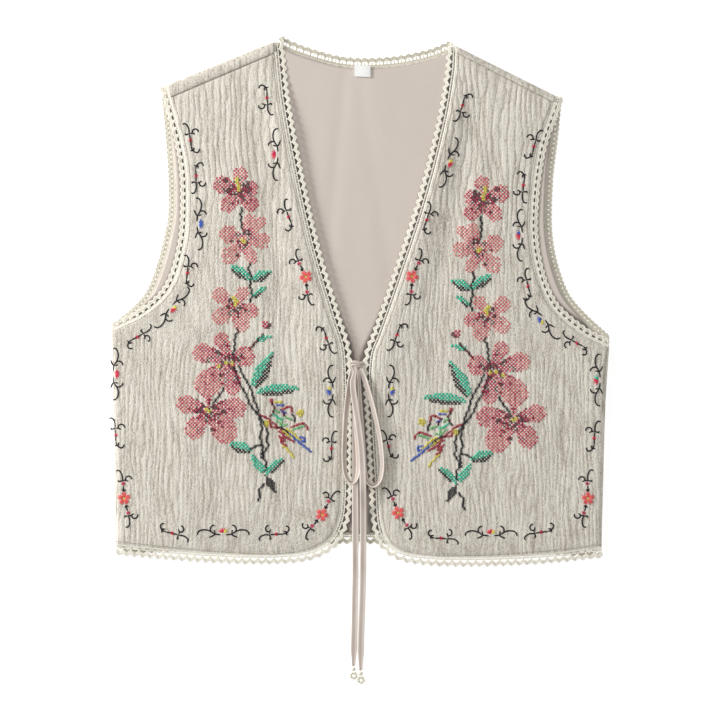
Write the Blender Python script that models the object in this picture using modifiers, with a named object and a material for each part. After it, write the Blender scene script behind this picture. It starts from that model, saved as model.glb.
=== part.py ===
"""Embroidered lace-edged waistcoat, laid flat with its front up.

Metres, +Z up. +X runs towards the wearer's left front, +Y towards the neck, and z = 0 is the
surface that the waistcoat lies on. The origin is the middle of its outline. Right and left are
the wearer's, so the right front lies on the -X side.

The back lies flat and carries its lining. Each front lies on the lining and is joined to the
back at the side, and the back comes forward over each shoulder to a seam on the front. Lace
edges the fronts, the neck, the armholes and the hem, and two ties are bowed across the opening.
"""

import math

import bmesh
import bpy
from mathutils import Vector

MM = 0.001
GAP = 0.3 * MM

# Thickness of each cloth.
SHELL = 1.2 * MM
LINING = 1.0 * MM
FRONT = 1.4 * MM
LACE = 1.0 * MM
LABEL = 1.0 * MM

# Height of the middle of each layer.
BACK_MID = SHELL / 2
LINING_MID = SHELL + GAP + LINING / 2
FRONT_MID = SHELL + GAP + LINING + GAP + FRONT / 2
SEAM_MID = SHELL + GAP + FRONT / 2

# The front panel lies in a low dome with a few long soft waves, and dips to its side seam over
# DIP_SHARE of its width and DIP_FADE of its height.
DOME = 1.9 * MM
WAVE = 0.45 * MM
WAVES_ACROSS = 3.5
DIP_SHARE, DIP_FADE = 0.045, 0.09
SHOULDER_TURN = (FRONT_MID - BACK_MID) / 2

# Width of each lace.
EDGE_LACE = 10.5 * MM
NECK_LACE = 10.0 * MM
ARMHOLE_LACE = 8.3 * MM
BACK_ARMHOLE_LACE = 7.0 * MM
HEM_LACE = 10.5 * MM

# Rows and columns of each panel. A panel's side and its armhole, or its opening and its neck,
# share its rows at the row of the underarm.
CORNER_ROWS, OPENING_ROWS, NECK_ROWS = 7, 5, 16
FRONT_COLUMNS = 9
FRONT_ROWS = CORNER_ROWS + OPENING_ROWS + NECK_ROWS
UNDERARM = (CORNER_ROWS + OPENING_ROWS) / FRONT_ROWS
SHOULDER_COLUMNS, NECK_COLUMNS = 5, 10
BACK_COLUMNS = 2 * SHOULDER_COLUMNS + NECK_COLUMNS
BACK_ROWS = FRONT_ROWS
LINING_COLUMNS, LINING_ROWS = 16, 18
FOLD_STEPS = 4

# Outlines in millimetres, each as the few points that a smooth edge runs through.
RIGHT_FRONT = {
    "hem": [(-244.5, -243.6), (-178, -249.7), (-117, -253), (-87, -253)],
    "corner": [(-87, -253), (-63, -251.5), (-45, -247), (-29, -236), (-20.5, -216), (-18, -192)],
    "opening": [(-18, -192), (-18, -130), (-18, -75)],
    "neck": [(-18, -75), (-20, -48), (-29, -19), (-49.5, 50), (-67, 128), (-80, 199), (-85.3, 247.4)],
    "side": [(-244.5, -243.6), (-245.5, -163), (-247, -101), (-248.3, -30.3)],
    "armhole": [(-248.3, -30.3), (-214.5, -13.5), (-189.2, 11.8), (-175.2, 54.7), (-172.1, 98),
                (-174.6, 142.5), (-189.3, 203)],
    "seam": [(-189.3, 203), (-85.3, 247.4)],
    "fold": [(-194, 215.7), (-86.5, 258.9)],
    "apex": (-77.6, 266),
    "underarm_tip": (-248.5, -21.8),
}
LEFT_FRONT = {
    "hem": [(240.8, -246.6), (183.5, -252.6), (122.4, -255.3), (79.5, -255.1)],
    "corner": [(79.5, -255.1), (54.5, -252.8), (39, -249), (27.5, -240), (21, -222), (18.7, -190)],
    "opening": [(18.7, -190), (15.6, -135), (12, -72)],
    "neck": [(12, -72), (14.5, -52.3), (20.5, -37), (38.5, 14), (67.1, 101.6), (86.5, 178.7),
             (95, 228), (96.2, 248.2)],
    "side": [(240.8, -246.6), (242.8, -163), (244.8, -101.7), (248.2, -46.8)],
    "armhole": [(248.2, -46.8), (219, -31.5), (188.5, -2.4), (172.5, 44.8), (170.1, 91.5),
                (177.8, 150.8), (193.6, 198)],
    "seam": [(193.6, 198), (96.2, 248.2)],
    "fold": [(195, 204.8), (95.5, 254.4)],
    "apex": (88.7, 260.3),
    "underarm_tip": (248.4, -37.8),
}
BACK = {
    "hem": [(-244.5, -243.6), (-120, -237.5), (0, -232.7), (120, -239.5), (240.8, -246.6)],
    "neck": [(-86.5, 258.7), (-56.5, 244.7), (-15, 234.2), (30, 234.5), (71, 242.4), (95.5, 254.2)],
    "right_armhole": [(-248.3, -30.3), (-224, -12.3), (-205, 12.9), (-187.5, 73.4), (-185.3, 107.2),
                      (-188, 160), (-194, 215.7)],
    "left_side": [(240.8, -246.6), (242.8, -163), (244.8, -101.7), (248.2, -43)],
    "left_armhole": [(248.2, -43), (219, -16.3), (200.5, 7.7), (186, 58.7), (185.7, 118.3),
                     (191, 165), (195, 204.4)],
    "right_tip": (-248.5, -22.5),
    "left_tip": (248.4, -34.8),
}

# The lining stops short of the back's edges, and comes out to the armhole above the underarm.
LINING_SIDE_INSET = 7.0 * MM
LINING_ARMHOLE_INSET = 0.8 * MM
LINING_HEM_INSET = 1.2 * MM
LINING_TOP_INSET = 1.0 * MM
LINING_INSET_FADE = 0.08

LABEL_SIZE = (16 * MM, 11.5 * MM)
LABEL_CENTRE = (2 * MM, 229.5 * MM)

# Ties: flat satin strips. A route is (x, y, height of the middle, tilt in degrees, share of the
# full width), in millimetres; a tilt of 0 lies flat.
TIE_WIDTH = 6.0 * MM
TIE_THICKNESS = 1.0 * MM
ROUTES = {
    "tie_right_root": [(-14.5, -60.8, 5.0, 0, 0.8), (-13.2, -61.0, 5.2, 0, 0.7),
                       (-11.8, -61.2, 5.6, 0, 0.6)],
    "tie_left_root": [(7.5, -60.0, 5.0, 0, 0.8), (5.5, -60.6, 5.2, 0, 0.7),
                      (3.7, -61.2, 5.6, 0, 0.6)],
    "tie_right_loop": [(-9.0, -68.6, 8.0, 0, 0.45), (-10.6, -80, 8.2, 25, 0.9),
                       (-13.2, -100, 8.2, 40, 1.0), (-15.4, -127, 8.2, 45, 1.0),
                       (-16.4, -150, 8.2, 45, 1.0), (-16.0, -166, 8.2, 48, 1.0),
                       (-13.6, -177, 8.2, 55, 1.0), (-8.6, -182.2, 8.4, 62, 1.0),
                       (-3.9, -177, 8.4, 55, 1.0), (-2.4, -166, 8.2, 50, 1.0),
                       (-2.8, -150, 8.2, 50, 1.0), (-4.8, -127, 8.2, 50, 1.0),
                       (-6.0, -100, 8.2, 50, 0.95), (-6.0, -82, 8.0, 50, 0.7),
                       (-6.0, -69.2, 6.2, 0, 0.42)],
    "tie_left_loop": [(1.2, -68.2, 8.0, 0, 0.45), (4.0, -78, 8.2, -25, 0.9),
                      (9.2, -95, 8.2, -40, 1.0), (14.5, -115, 8.2, -45, 1.0),
                      (18.8, -135, 8.2, -45, 1.0), (21.2, -154, 8.2, -45, 1.0),
                      (21.4, -170, 8.2, -50, 1.0), (18.9, -180.5, 8.3, -58, 1.0),
                      (13.0, -185.2, 8.4, -62, 1.0), (7.0, -181.0, 8.4, -55, 1.0),
                      (4.3, -170, 8.2, -50, 1.0), (3.0, -150, 8.2, -50, 1.0),
                      (1.2, -125, 8.2, -50, 1.0), (-0.6, -100, 8.2, -50, 0.95),
                      (-1.4, -82, 8.0, -50, 0.7), (-1.8, -69.0, 6.2, 0, 0.42)],
    "tie_right_tail": [(-5.2, -69.5, 10.0, 0, 0.5), (-7.6, -82, 11.6, 0, 0.95),
                       (-5.5, -102, 11.8, 0, 1.0), (-2.4, -122, 11.8, 0, 1.0),
                       (0.6, -146, 11.8, 0, 1.0), (2.0, -168, 11.6, 0, 1.0),
                       (2.5, -188, 11.4, 0, 1.0), (2.7, -208, 6.6, 0, 1.0),
                       (2.8, -230, 4.9, 0, 1.0), (2.6, -252, 4.0, 0, 1.0),
                       (2.4, -272, 1.3, 0, 1.0), (2.0, -292, 0.6, 0, 1.0),
                       (0.8, -325, 0.6, 0, 1.0), (0.2, -352, 0.6, 0, 1.0),
                       (0.3, -369.6, 0.9, 0, 0.5)],
    "tie_left_tail": [(-4.4, -69.5, 4.9, 0, 0.45), (-5.2, -85, 4.9, 0, 1.0),
                      (-5.4, -120, 4.9, 0, 1.0), (-5.4, -160, 4.9, 0, 1.0),
                      (-5.2, -200, 4.9, 0, 1.0), (-5.1, -230, 4.9, 0, 1.0),
                      (-5.1, -252, 4.0, 0, 1.0), (-5.2, -272, 1.3, 0, 1.0),
                      (-5.6, -292, 0.6, 0, 1.0), (-6.2, -325, 0.6, 0, 1.0),
                      (-6.8, -350, 0.6, 0, 1.0), (-7.0, -365.2, 0.9, 0, 0.5)],
}
KNOT_CENTRE = (-4.0 * MM, -63.2 * MM, 7.5 * MM)
KNOT_SIZE = (15.0 * MM, 9.6 * MM, 6.2 * MM)

BEAD_RADIUS = 2.2 * MM
CHARM_RADIUS, CHARM_RING = 4.1 * MM, 1.4 * MM
TAIL_ENDS = {"right": (0.3 * MM, -370.4 * MM), "left": (-7.0 * MM, -366.0 * MM)}

SPAN_SAMPLES = 12

COLOURS = {
    "gauze": ((0.66, 0.62, 0.54), 0.92),
    "satin": ((0.60, 0.52, 0.47), 0.55),
    "lace": ((0.88, 0.85, 0.76), 0.88),
    "label": ((0.88, 0.88, 0.87), 0.6),
    "tie": ((0.60, 0.53, 0.48), 0.5),
    "bead": ((0.90, 0.89, 0.84), 0.25),
}


def smooth(points):
    """Samples of the smooth curve that runs through the points, which may have any length."""
    knots = [Vector(p) for p in points]
    first, last = 2 * knots[0] - knots[1], 2 * knots[-1] - knots[-2]
    ends = [first, *knots, last]
    line = [knots[0]]
    for a, b, c, d in zip(ends, ends[1:], ends[2:], ends[3:], strict=False):
        slope_b = (c - a) * ((c - b).length / ((c - b).length + (b - a).length))
        slope_c = (d - b) * ((c - b).length / ((d - c).length + (c - b).length))
        for i in range(1, SPAN_SAMPLES + 1):
            t = i / SPAN_SAMPLES
            s = 1 - t
            line.append(s * s * (1 + 2 * t) * b + t * t * (3 - 2 * t) * c
                        + s * s * t * slope_b - s * t * t * slope_c)
    return line


def by_length(line):
    """The point a share t of the way along a line, as a function of t."""
    along = [0.0]
    for a, b in zip(line, line[1:], strict=False):
        along.append(along[-1] + (b - a).length)

    def at(t):
        reach = min(max(t, 0.0), 1.0) * along[-1]
        i = max(1, next(k for k, d in enumerate(along) if d >= reach - 1e-12))
        share = (reach - along[i - 1]) / (along[i] - along[i - 1])
        return line[i - 1].lerp(line[i], share)

    return at


def edge(*stretches):
    """A panel's edge as a function of 0 to 1, from (outline in mm, share of the edge) stretches."""
    curves = [(by_length(smooth([Vector(p) * MM for p in points])), share)
              for points, share in stretches]

    def at(t):
        start = 0.0
        for curve, share in curves:
            if t <= start + share + 1e-9:
                return curve((t - start) / share)
            start += share
        return curves[-1][0](1.0)

    return at


def patch(bottom, top, near, far):
    """The Coons surface between four edges: near and far run up from the ends of bottom."""
    def at(u, v):
        along = bottom(u).lerp(top(u), v)
        across = near(v).lerp(far(v), u)
        corners = bottom(0).lerp(bottom(1), u).lerp(top(0).lerp(top(1), u), v)
        return along + across - corners

    return at


def steps(count):
    return [i / count for i in range(count + 1)]


def material(kind):
    found = bpy.data.materials.get(kind)
    if found:
        return found
    colour, roughness = COLOURS[kind]
    made = bpy.data.materials.new(kind)
    made.use_nodes = True
    shader = made.node_tree.nodes["Principled BSDF"]
    shader.inputs["Base Color"].default_value = (*colour, 1)
    shader.inputs["Roughness"].default_value = roughness
    shader.inputs["Metallic"].default_value = 0
    made.diffuse_color = (*colour, 1)
    return made


def place(name, data, kind):
    """Puts mesh or curve data in the waistcoat's collection as the object of that name."""
    data.name = name
    data.materials.append(material(kind))
    obj = bpy.data.objects.new(name, data)
    garment.objects.link(obj)
    return obj


def sheet(name, points, faces, thickness, kind):
    """A cloth wall, half its thickness to each side of the surface."""
    mesh = bpy.data.meshes.new(name)
    mesh.from_pydata([tuple(p) for p in points], [], faces)
    obj = place(name, mesh, kind)
    mesh.shade_smooth()
    wall = obj.modifiers.new("Cloth thickness", "SOLIDIFY")
    wall.thickness = thickness
    wall.offset = 0
    wall.use_even_offset = True
    return obj


def grid_faces(columns, rows, first=0):
    width = columns + 1
    return [(first + r * width + c, first + r * width + c + 1,
             first + (r + 1) * width + c + 1, first + (r + 1) * width + c)
            for r in range(rows) for c in range(columns)]


def front_patch(cut):
    """A front panel from its hem (v = 0) to the shoulder seam, and from its side (u = 0) in."""
    inner = edge((cut["corner"], CORNER_ROWS / FRONT_ROWS), (cut["opening"], OPENING_ROWS / FRONT_ROWS),
                 (cut["neck"], NECK_ROWS / FRONT_ROWS))
    outer = edge((cut["side"], UNDERARM), (cut["armhole"], 1 - UNDERARM))
    return patch(edge((cut["hem"], 1)), edge((cut["seam"], 1)), outer, inner)


def side_dip(u, v):
    """How far a front has come down to its side seam: 1 at the seam, 0 away from it."""
    beside = max(0.0, 1 - u / DIP_SHARE)
    below = min(1.0, max(0.0, (UNDERARM - v) / DIP_FADE))
    return beside * below


def front_height(u, v):
    """Height of the middle of a front panel's wall."""
    arch = math.sin(math.pi * min(max(u, 0.0), 1.0)) * math.sin(math.pi * min(max(v, 0.0), 1.0))
    wave = WAVE * math.sin(2 * math.pi * WAVES_ACROSS * u + 2.2 * v) * arch
    return FRONT_MID + DOME * math.sqrt(arch) * arch ** 0.25 + wave + (SEAM_MID - FRONT_MID) * side_dip(u, v)


def front_columns():
    """Column places across a front, closer together where it dips to the side seam."""
    return [0.0, DIP_SHARE / 2, DIP_SHARE] + [DIP_SHARE + (1 - DIP_SHARE) * t
                                              for t in steps(FRONT_COLUMNS - 2)[1:]]


def front(name, cut):
    surface = front_patch(cut)
    points = [surface(u, v).to_3d() + Vector((0, 0, front_height(u, v)))
              for v in steps(FRONT_ROWS) for u in front_columns()]
    return sheet(name, points, grid_faces(FRONT_COLUMNS, FRONT_ROWS), FRONT, "gauze")


def shoulder(cut, t):
    """The points of a shoulder's fold and of its forward seam, a share t in from the armhole."""
    return edge((cut["fold"], 1))(t), edge((cut["seam"], 1))(t)


def flat_end(cut, t):
    """Where the back stops lying flat and turns over the shoulder."""
    fold, seam = shoulder(cut, t)
    return fold + (seam - fold).normalized() * (SHOULDER_TURN + SHELL / 2)


def back_top(t):
    """The back's top edge from the right shoulder's end to the left one's, for t from 0 to 1."""
    part = t * BACK_COLUMNS
    if part <= SHOULDER_COLUMNS:
        return flat_end(RIGHT_FRONT, part / SHOULDER_COLUMNS)
    if part >= SHOULDER_COLUMNS + NECK_COLUMNS:
        return flat_end(LEFT_FRONT, (BACK_COLUMNS - part) / SHOULDER_COLUMNS)
    return back_neck((part - SHOULDER_COLUMNS) / NECK_COLUMNS)


def back_neck(t):
    """The back's neck edge, which starts and ends where the shoulders lie flat."""
    start, end = flat_end(RIGHT_FRONT, 1), flat_end(LEFT_FRONT, 1)
    curve = [start / MM, *[Vector(p) for p in BACK["neck"][1:-1]], end / MM]
    return edge((curve, 1))(t)


def back_armhole(side):
    """An armhole edge of the back as outline points, ending where the shoulder lies flat."""
    cut = RIGHT_FRONT if side == "right" else LEFT_FRONT
    return [*BACK[side + "_armhole"][:-1], tuple(flat_end(cut, 0) / MM)]


def back_patch():
    near = edge((RIGHT_FRONT["side"], UNDERARM), (back_armhole("right"), 1 - UNDERARM))
    far = edge((BACK["left_side"], UNDERARM), (back_armhole("left"), 1 - UNDERARM))
    return patch(edge((BACK["hem"], 1)), back_top, near, far)


def back():
    """The back, with its two shoulder pieces that turn over and come forward to the fronts."""
    surface = back_patch()
    flat = Vector((0, 0, BACK_MID))
    points = [surface(u, v).to_3d() + flat for v in steps(BACK_ROWS) for u in steps(BACK_COLUMNS)]
    faces = grid_faces(BACK_COLUMNS, BACK_ROWS)
    last_row = BACK_ROWS * (BACK_COLUMNS + 1)
    for cut, corner, way in ((RIGHT_FRONT, last_row, 1), (LEFT_FRONT, last_row + BACK_COLUMNS, -1)):
        below = [corner + way * c for c in range(SHOULDER_COLUMNS + 1)]
        for step in range(1, FOLD_STEPS + 2):
            row = [len(points) + c for c in range(SHOULDER_COLUMNS + 1)]
            for c in range(SHOULDER_COLUMNS + 1):
                points.append(over_shoulder(cut, c / SHOULDER_COLUMNS, step))
            for a, b, c, d in zip(below, below[1:], row[1:], row, strict=False):
                faces.append((a, b, c, d) if way > 0 else (d, c, b, a))
            below = row
    return sheet("back", points, faces, SHELL, "gauze")


def over_shoulder(cut, t, step):
    """A point of the turn over the shoulder, or of the forward seam on the step after it."""
    fold, seam = shoulder(cut, t)
    inward = (seam - fold).normalized()
    if step > FOLD_STEPS:
        return (seam - inward * GAP).to_3d() + Vector((0, 0, FRONT_MID))
    angle = math.pi * step / FOLD_STEPS
    plan = flat_end(cut, t) - inward * SHOULDER_TURN * math.sin(angle)
    return plan.to_3d() + Vector((0, 0, BACK_MID + SHOULDER_TURN * (1 - math.cos(angle))))


def lining_side(v):
    """How far the lining stops from the back's side or armhole, a share v of the way up it."""
    share = min(1.0, max(0.0, (v - UNDERARM) / LINING_INSET_FADE))
    return LINING_SIDE_INSET + (LINING_ARMHOLE_INSET - LINING_SIDE_INSET) * share


def lining():
    surface = back_patch()
    width = (surface(1, 0.2) - surface(0, 0.2)).length
    height = (surface(0.5, 1) - surface(0.5, 0)).length
    low, high = LINING_HEM_INSET / height, 1 - LINING_TOP_INSET / height
    points = []
    for t in steps(LINING_ROWS):
        v = low + (high - low) * t
        inset = lining_side(v) / width
        points += [surface(inset + (1 - 2 * inset) * s, v).to_3d() + Vector((0, 0, LINING_MID))
                   for s in steps(LINING_COLUMNS)]
    return sheet("lining_back", points, grid_faces(LINING_COLUMNS, LINING_ROWS), LINING, "satin")


def lace(name, path, width, outward, tips=(None, None)):
    """A lace strip that starts GAP from a cloth edge and runs out from it.

    path holds 3-D points along the edge, outward is 1 when out is to the path's left and -1 when
    it is to the right, and tips are the plan points that the two outer corners are cut to.
    """
    rails = []
    for i, point in enumerate(path):
        ahead = path[min(i + 1, len(path) - 1)] - path[max(i - 1, 0)]
        out = Vector((-ahead.y, ahead.x, 0)).normalized() * outward
        rails.append([point + out * GAP, point + out * (GAP + width / 2), point + out * (GAP + width)])
    for end, tip in zip((0, -1), tips, strict=True):
        if tip:
            inner = rails[end][0]
            outer = Vector((tip[0] * MM, tip[1] * MM, inner.z))
            rails[end] = [inner, inner.lerp(outer, 0.5), outer]
    points = [p for rail in rails for p in rail]
    return sheet(name, points, grid_faces(2, len(path) - 1), LACE, "lace")


def edge_lace(name, cut, outward):
    """Lace round a front: from the side along the hem, up the opening and on to the shoulder."""
    surface = front_patch(cut)
    path = [surface(u, 0).to_3d() + Vector((0, 0, front_height(u, 0))) for u in front_columns()]
    path += [surface(1, v).to_3d() + Vector((0, 0, front_height(1, v))) for v in steps(FRONT_ROWS)[1:]]
    fold, seam = shoulder(cut, 1)
    path += [seam.lerp(fold, t).to_3d() + Vector((0, 0, FRONT_MID)) for t in (0.5, 1)]
    return lace(name, path, EDGE_LACE, outward, (None, cut["apex"]))


def front_armhole_lace(name, cut, outward):
    surface = front_patch(cut)
    rows = [v for v in steps(FRONT_ROWS) if v >= UNDERARM - 1e-9]
    path = [surface(0, v).to_3d() + Vector((0, 0, front_height(0, v))) for v in rows]
    fold, seam = shoulder(cut, 0)
    path += [seam.lerp(fold, t).to_3d() + Vector((0, 0, FRONT_MID)) for t in (0.5, 1)]
    return lace(name, path, ARMHOLE_LACE, outward, (cut["underarm_tip"], None))


def back_armhole_lace(name, side, outward):
    armhole = edge((back_armhole(side), 1))
    path = [armhole(t).to_3d() + Vector((0, 0, BACK_MID)) for t in steps(NECK_ROWS)]
    return lace(name, path, BACK_ARMHOLE_LACE, outward, (BACK[side + "_tip"], None))


def neck_lace():
    path = [back_neck(t).to_3d() + Vector((0, 0, BACK_MID)) for t in steps(NECK_COLUMNS)]
    return lace("lace_neck_back", path, NECK_LACE, 1, (RIGHT_FRONT["apex"], LEFT_FRONT["apex"]))


def hem_lace():
    hem = edge((BACK["hem"], 1))
    path = [hem(t).to_3d() + Vector((0, 0, BACK_MID)) for t in steps(BACK_COLUMNS)]
    return lace("lace_hem_back", path, HEM_LACE, -1)


def block(name, centre, size, kind):
    """A box made in place, its corners at centre and half the size to each side."""
    mesh = bpy.data.meshes.new(name)
    bm = bmesh.new()
    bmesh.ops.create_cube(bm, size=1)
    for vertex in bm.verts:
        vertex.co = Vector(centre) + Vector(a * b for a, b in zip(vertex.co, size, strict=True))
    bm.to_mesh(mesh)
    bm.free()
    return place(name, mesh, kind)


def label():
    z = LINING_MID + LINING / 2 + GAP + LABEL / 2
    tag = block("label", (*LABEL_CENTRE, z), (*LABEL_SIZE, LABEL), "label")
    rounding = tag.modifiers.new("Soft corners", "BEVEL")
    rounding.width = 0.15 * MM
    rounding.segments = 1
    return tag


def tie(name, route):
    """A flat strip along its route: a curve whose extruded profile is turned by each tilt."""
    line = smooth([(x, y, z) for x, y, z, _, _ in route])
    every = SPAN_SAMPLES // 2
    spots = list(range(0, len(line), every))
    curve = bpy.data.curves.new(name, "CURVE")
    curve.dimensions = "3D"
    curve.twist_mode = "Z_UP"
    curve.bevel_depth = TIE_THICKNESS / 2
    curve.extrude = TIE_WIDTH / 2 - TIE_THICKNESS / 2
    curve.bevel_resolution = 1
    curve.use_fill_caps = True
    spline = curve.splines.new("POLY")
    spline.points.add(len(spots) - 1)
    for point, spot in zip(spline.points, spots, strict=True):
        span, rest = divmod(spot, SPAN_SAMPLES)
        before, after = route[span], route[min(span + 1, len(route) - 1)]
        share = rest / SPAN_SAMPLES
        tilt = before[3] + (after[3] - before[3]) * share
        point.co = (*(line[spot] * MM), 1)
        point.tilt = math.radians(90 - tilt)
        point.radius = before[4] + (after[4] - before[4]) * share
    return place(name, curve, "tie")


def knot():
    wrap = block("knot", KNOT_CENTRE, KNOT_SIZE, "tie")
    soft = wrap.modifiers.new("Soft form", "SUBSURF")
    soft.levels = soft.render_levels = 2
    wrap.data.shade_smooth()
    return wrap


def bead(side):
    """A round bead at the end of a tail."""
    x, y = TAIL_ENDS[side]
    bpy.ops.mesh.primitive_uv_sphere_add(segments=12, ring_count=8, radius=BEAD_RADIUS,
                                         location=(x, y - BEAD_RADIUS, BEAD_RADIUS))
    return adopt("bead_" + side)


def charm(side):
    """A ring-shaped charm below the bead."""
    x, y = TAIL_ENDS[side]
    bpy.ops.mesh.primitive_torus_add(major_radius=CHARM_RADIUS - CHARM_RING, minor_radius=CHARM_RING,
                                     major_segments=16, minor_segments=8,
                                     location=(x, y - 2 * BEAD_RADIUS - GAP - CHARM_RADIUS, CHARM_RING))
    return adopt("charm_" + side)


def adopt(name):
    """Takes the primitive just added into the waistcoat's collection."""
    obj = bpy.context.object
    obj.name = obj.data.name = name
    obj.data.materials.append(material("bead"))
    obj.data.shade_smooth()
    for home in obj.users_collection:
        home.objects.unlink(obj)
    garment.objects.link(obj)
    return obj


for old in list(bpy.data.objects):
    bpy.data.objects.remove(old, do_unlink=True)
garment = bpy.data.collections.new("Embroidered waistcoat")
bpy.context.scene.collection.children.link(garment)

back()
lining()
front("front_right", RIGHT_FRONT)
front("front_left", LEFT_FRONT)
edge_lace("lace_edge_right", RIGHT_FRONT, -1)
edge_lace("lace_edge_left", LEFT_FRONT, 1)
front_armhole_lace("lace_armhole_front_right", RIGHT_FRONT, 1)
front_armhole_lace("lace_armhole_front_left", LEFT_FRONT, -1)
back_armhole_lace("lace_armhole_back_right", "right", 1)
back_armhole_lace("lace_armhole_back_left", "left", -1)
neck_lace()
hem_lace()
label()
for tie_name, tie_route in ROUTES.items():
    tie(tie_name, tie_route)
knot()
for tail_side in TAIL_ENDS:
    bead(tail_side)
    charm(tail_side)
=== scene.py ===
"""Embroidered, lace-edged gauze waistcoat, laid flat with its front up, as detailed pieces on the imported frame.

Metres, +Z up. +X runs towards the wearer's left, +Y towards the neck, and the waistcoat lies on z = 0.
Right and left are the wearer's, so the right front lies on the -X side. The cloth is made as thin
shells on the outlines that the frame was made from, the laces and stitches as closed threads.
"""

import sys

import logging
import math
from dataclasses import dataclass, field
from enum import Enum
from typing import Any, Callable, Sequence

import bpy
import numpy as np
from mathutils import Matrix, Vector
from mathutils.bvhtree import BVHTree


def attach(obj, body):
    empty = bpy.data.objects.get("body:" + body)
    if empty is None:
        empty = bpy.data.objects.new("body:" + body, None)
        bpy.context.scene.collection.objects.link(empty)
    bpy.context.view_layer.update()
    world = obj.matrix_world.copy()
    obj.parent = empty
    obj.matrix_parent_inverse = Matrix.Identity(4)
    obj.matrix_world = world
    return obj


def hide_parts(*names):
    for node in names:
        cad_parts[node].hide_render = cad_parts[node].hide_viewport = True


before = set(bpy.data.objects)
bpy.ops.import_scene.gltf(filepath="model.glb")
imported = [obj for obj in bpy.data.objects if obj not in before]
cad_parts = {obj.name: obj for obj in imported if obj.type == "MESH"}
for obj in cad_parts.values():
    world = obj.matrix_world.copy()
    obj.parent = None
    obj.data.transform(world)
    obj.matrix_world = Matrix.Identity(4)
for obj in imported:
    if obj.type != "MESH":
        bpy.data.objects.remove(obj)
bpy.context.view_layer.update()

log = logging.getLogger("waistcoat")
Array = np.ndarray
MM = 0.001
UP = np.array([0.0, 0.0, 1.0])

# Cloth thicknesses and the height of the middle of each layer, as in the frame.
GAP, SHELL, LINING, FRONT = 0.3 * MM, 1.2 * MM, 1.0 * MM, 1.4 * MM
BACK_MID = SHELL / 2
LINING_MID = SHELL + GAP + LINING / 2
FRONT_MID = SHELL + 2 * GAP + LINING + FRONT / 2
SHOULDER_TURN = (FRONT_MID - BACK_MID) / 2

# The share of a side edge that lies below the armhole.
UNDERARM = 12 / 28

# Outlines in millimetres, each as the few points that a smooth edge runs through.
RIGHT_CUT = {
    "hem": [(-244.5, -243.6), (-178, -249.7), (-117, -253), (-87, -253)],
    "corner": [(-87, -253), (-63, -251.5), (-45, -247), (-29, -236), (-20.5, -216), (-18, -192)],
    "opening": [(-18, -192), (-18, -130), (-18, -75)],
    "neck": [(-18, -75), (-20, -48), (-29, -19), (-49.5, 50), (-67, 128), (-80, 199), (-85.3, 247.4)],
    "side": [(-244.5, -243.6), (-245.5, -163), (-247, -101), (-248.3, -30.3)],
    "armhole": [(-248.3, -30.3), (-214.5, -13.5), (-189.2, 11.8), (-175.2, 54.7), (-172.1, 98),
                (-174.6, 142.5), (-189.3, 203)],
    "seam": [(-189.3, 203), (-85.3, 247.4)],
    "fold": [(-194, 215.7), (-86.5, 258.9)],
    "apex": (-77.6, 266),
    "underarm_tip": (-248.5, -21.8),
}
LEFT_CUT = {
    "hem": [(240.8, -246.6), (183.5, -252.6), (122.4, -255.3), (79.5, -255.1)],
    "corner": [(79.5, -255.1), (54.5, -252.8), (39, -249), (27.5, -240), (21, -222), (18.7, -190)],
    "opening": [(18.7, -190), (15.6, -135), (12, -72)],
    "neck": [(12, -72), (14.5, -52.3), (20.5, -37), (38.5, 14), (67.1, 101.6), (86.5, 178.7),
             (95, 228), (96.2, 248.2)],
    "side": [(240.8, -246.6), (242.8, -163), (244.8, -101.7), (248.2, -46.8)],
    "armhole": [(248.2, -46.8), (219, -31.5), (188.5, -2.4), (172.5, 44.8), (170.1, 91.5),
                (177.8, 150.8), (193.6, 198)],
    "seam": [(193.6, 198), (96.2, 248.2)],
    "fold": [(195, 204.8), (95.5, 254.4)],
    "apex": (88.7, 260.3),
    "underarm_tip": (248.4, -37.8),
}
BACK_CUT = {
    "hem": [(-244.5, -243.6), (-120, -237.5), (0, -232.7), (120, -239.5), (240.8, -246.6)],
    "neck": [(-86.5, 258.7), (-56.5, 244.7), (-15, 234.2), (30, 234.5), (71, 242.4), (95.5, 254.2)],
    "right_armhole": [(-248.3, -30.3), (-224, -12.3), (-205, 12.9), (-187.5, 73.4), (-185.3, 107.2),
                      (-188, 160), (-194, 215.7)],
    "left_side": [(240.8, -246.6), (242.8, -163), (244.8, -101.7), (248.2, -43)],
    "left_armhole": [(248.2, -43), (219, -16.3), (200.5, 7.7), (186, 58.7), (185.7, 118.3),
                     (191, 165), (195, 204.4)],
    "right_tip": (-248.5, -22.5),
    "left_tip": (248.4, -34.8),
}


# ------------------------ lines and surfaces

def smooth(points: Any, samples: int = 12) -> Array:
    """Samples the smooth curve that runs through points.

    Args:
        points: the points, with two or more coordinates each.
        samples: how many samples each span gets.

    Returns:
        The samples, the first and last point included.
    """
    knots = np.asarray(points, float)
    ends = np.vstack([2 * knots[0] - knots[1], knots, 2 * knots[-1] - knots[-2]])
    line = [knots[0]]
    for a, b, c, d in zip(ends, ends[1:], ends[2:], ends[3:]):
        ab, bc, cd = (float(np.linalg.norm(q - p)) for p, q in ((a, b), (b, c), (c, d)))
        slope_b, slope_c = (c - a) * bc / (bc + ab), (d - b) * bc / (cd + bc)
        for i in range(1, samples + 1):
            t = i / samples
            s = 1 - t
            line.append(s * s * (1 + 2 * t) * b + t * t * (3 - 2 * t) * c
                        + s * s * t * slope_b - s * t * t * slope_c)
    return np.array(line)


def ease(t: Any) -> Array:
    """A soft step from 0 to 1 as t goes from 0 to 1."""
    t = np.clip(t, 0.0, 1.0)
    return t * t * (3 - 2 * t)


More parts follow.
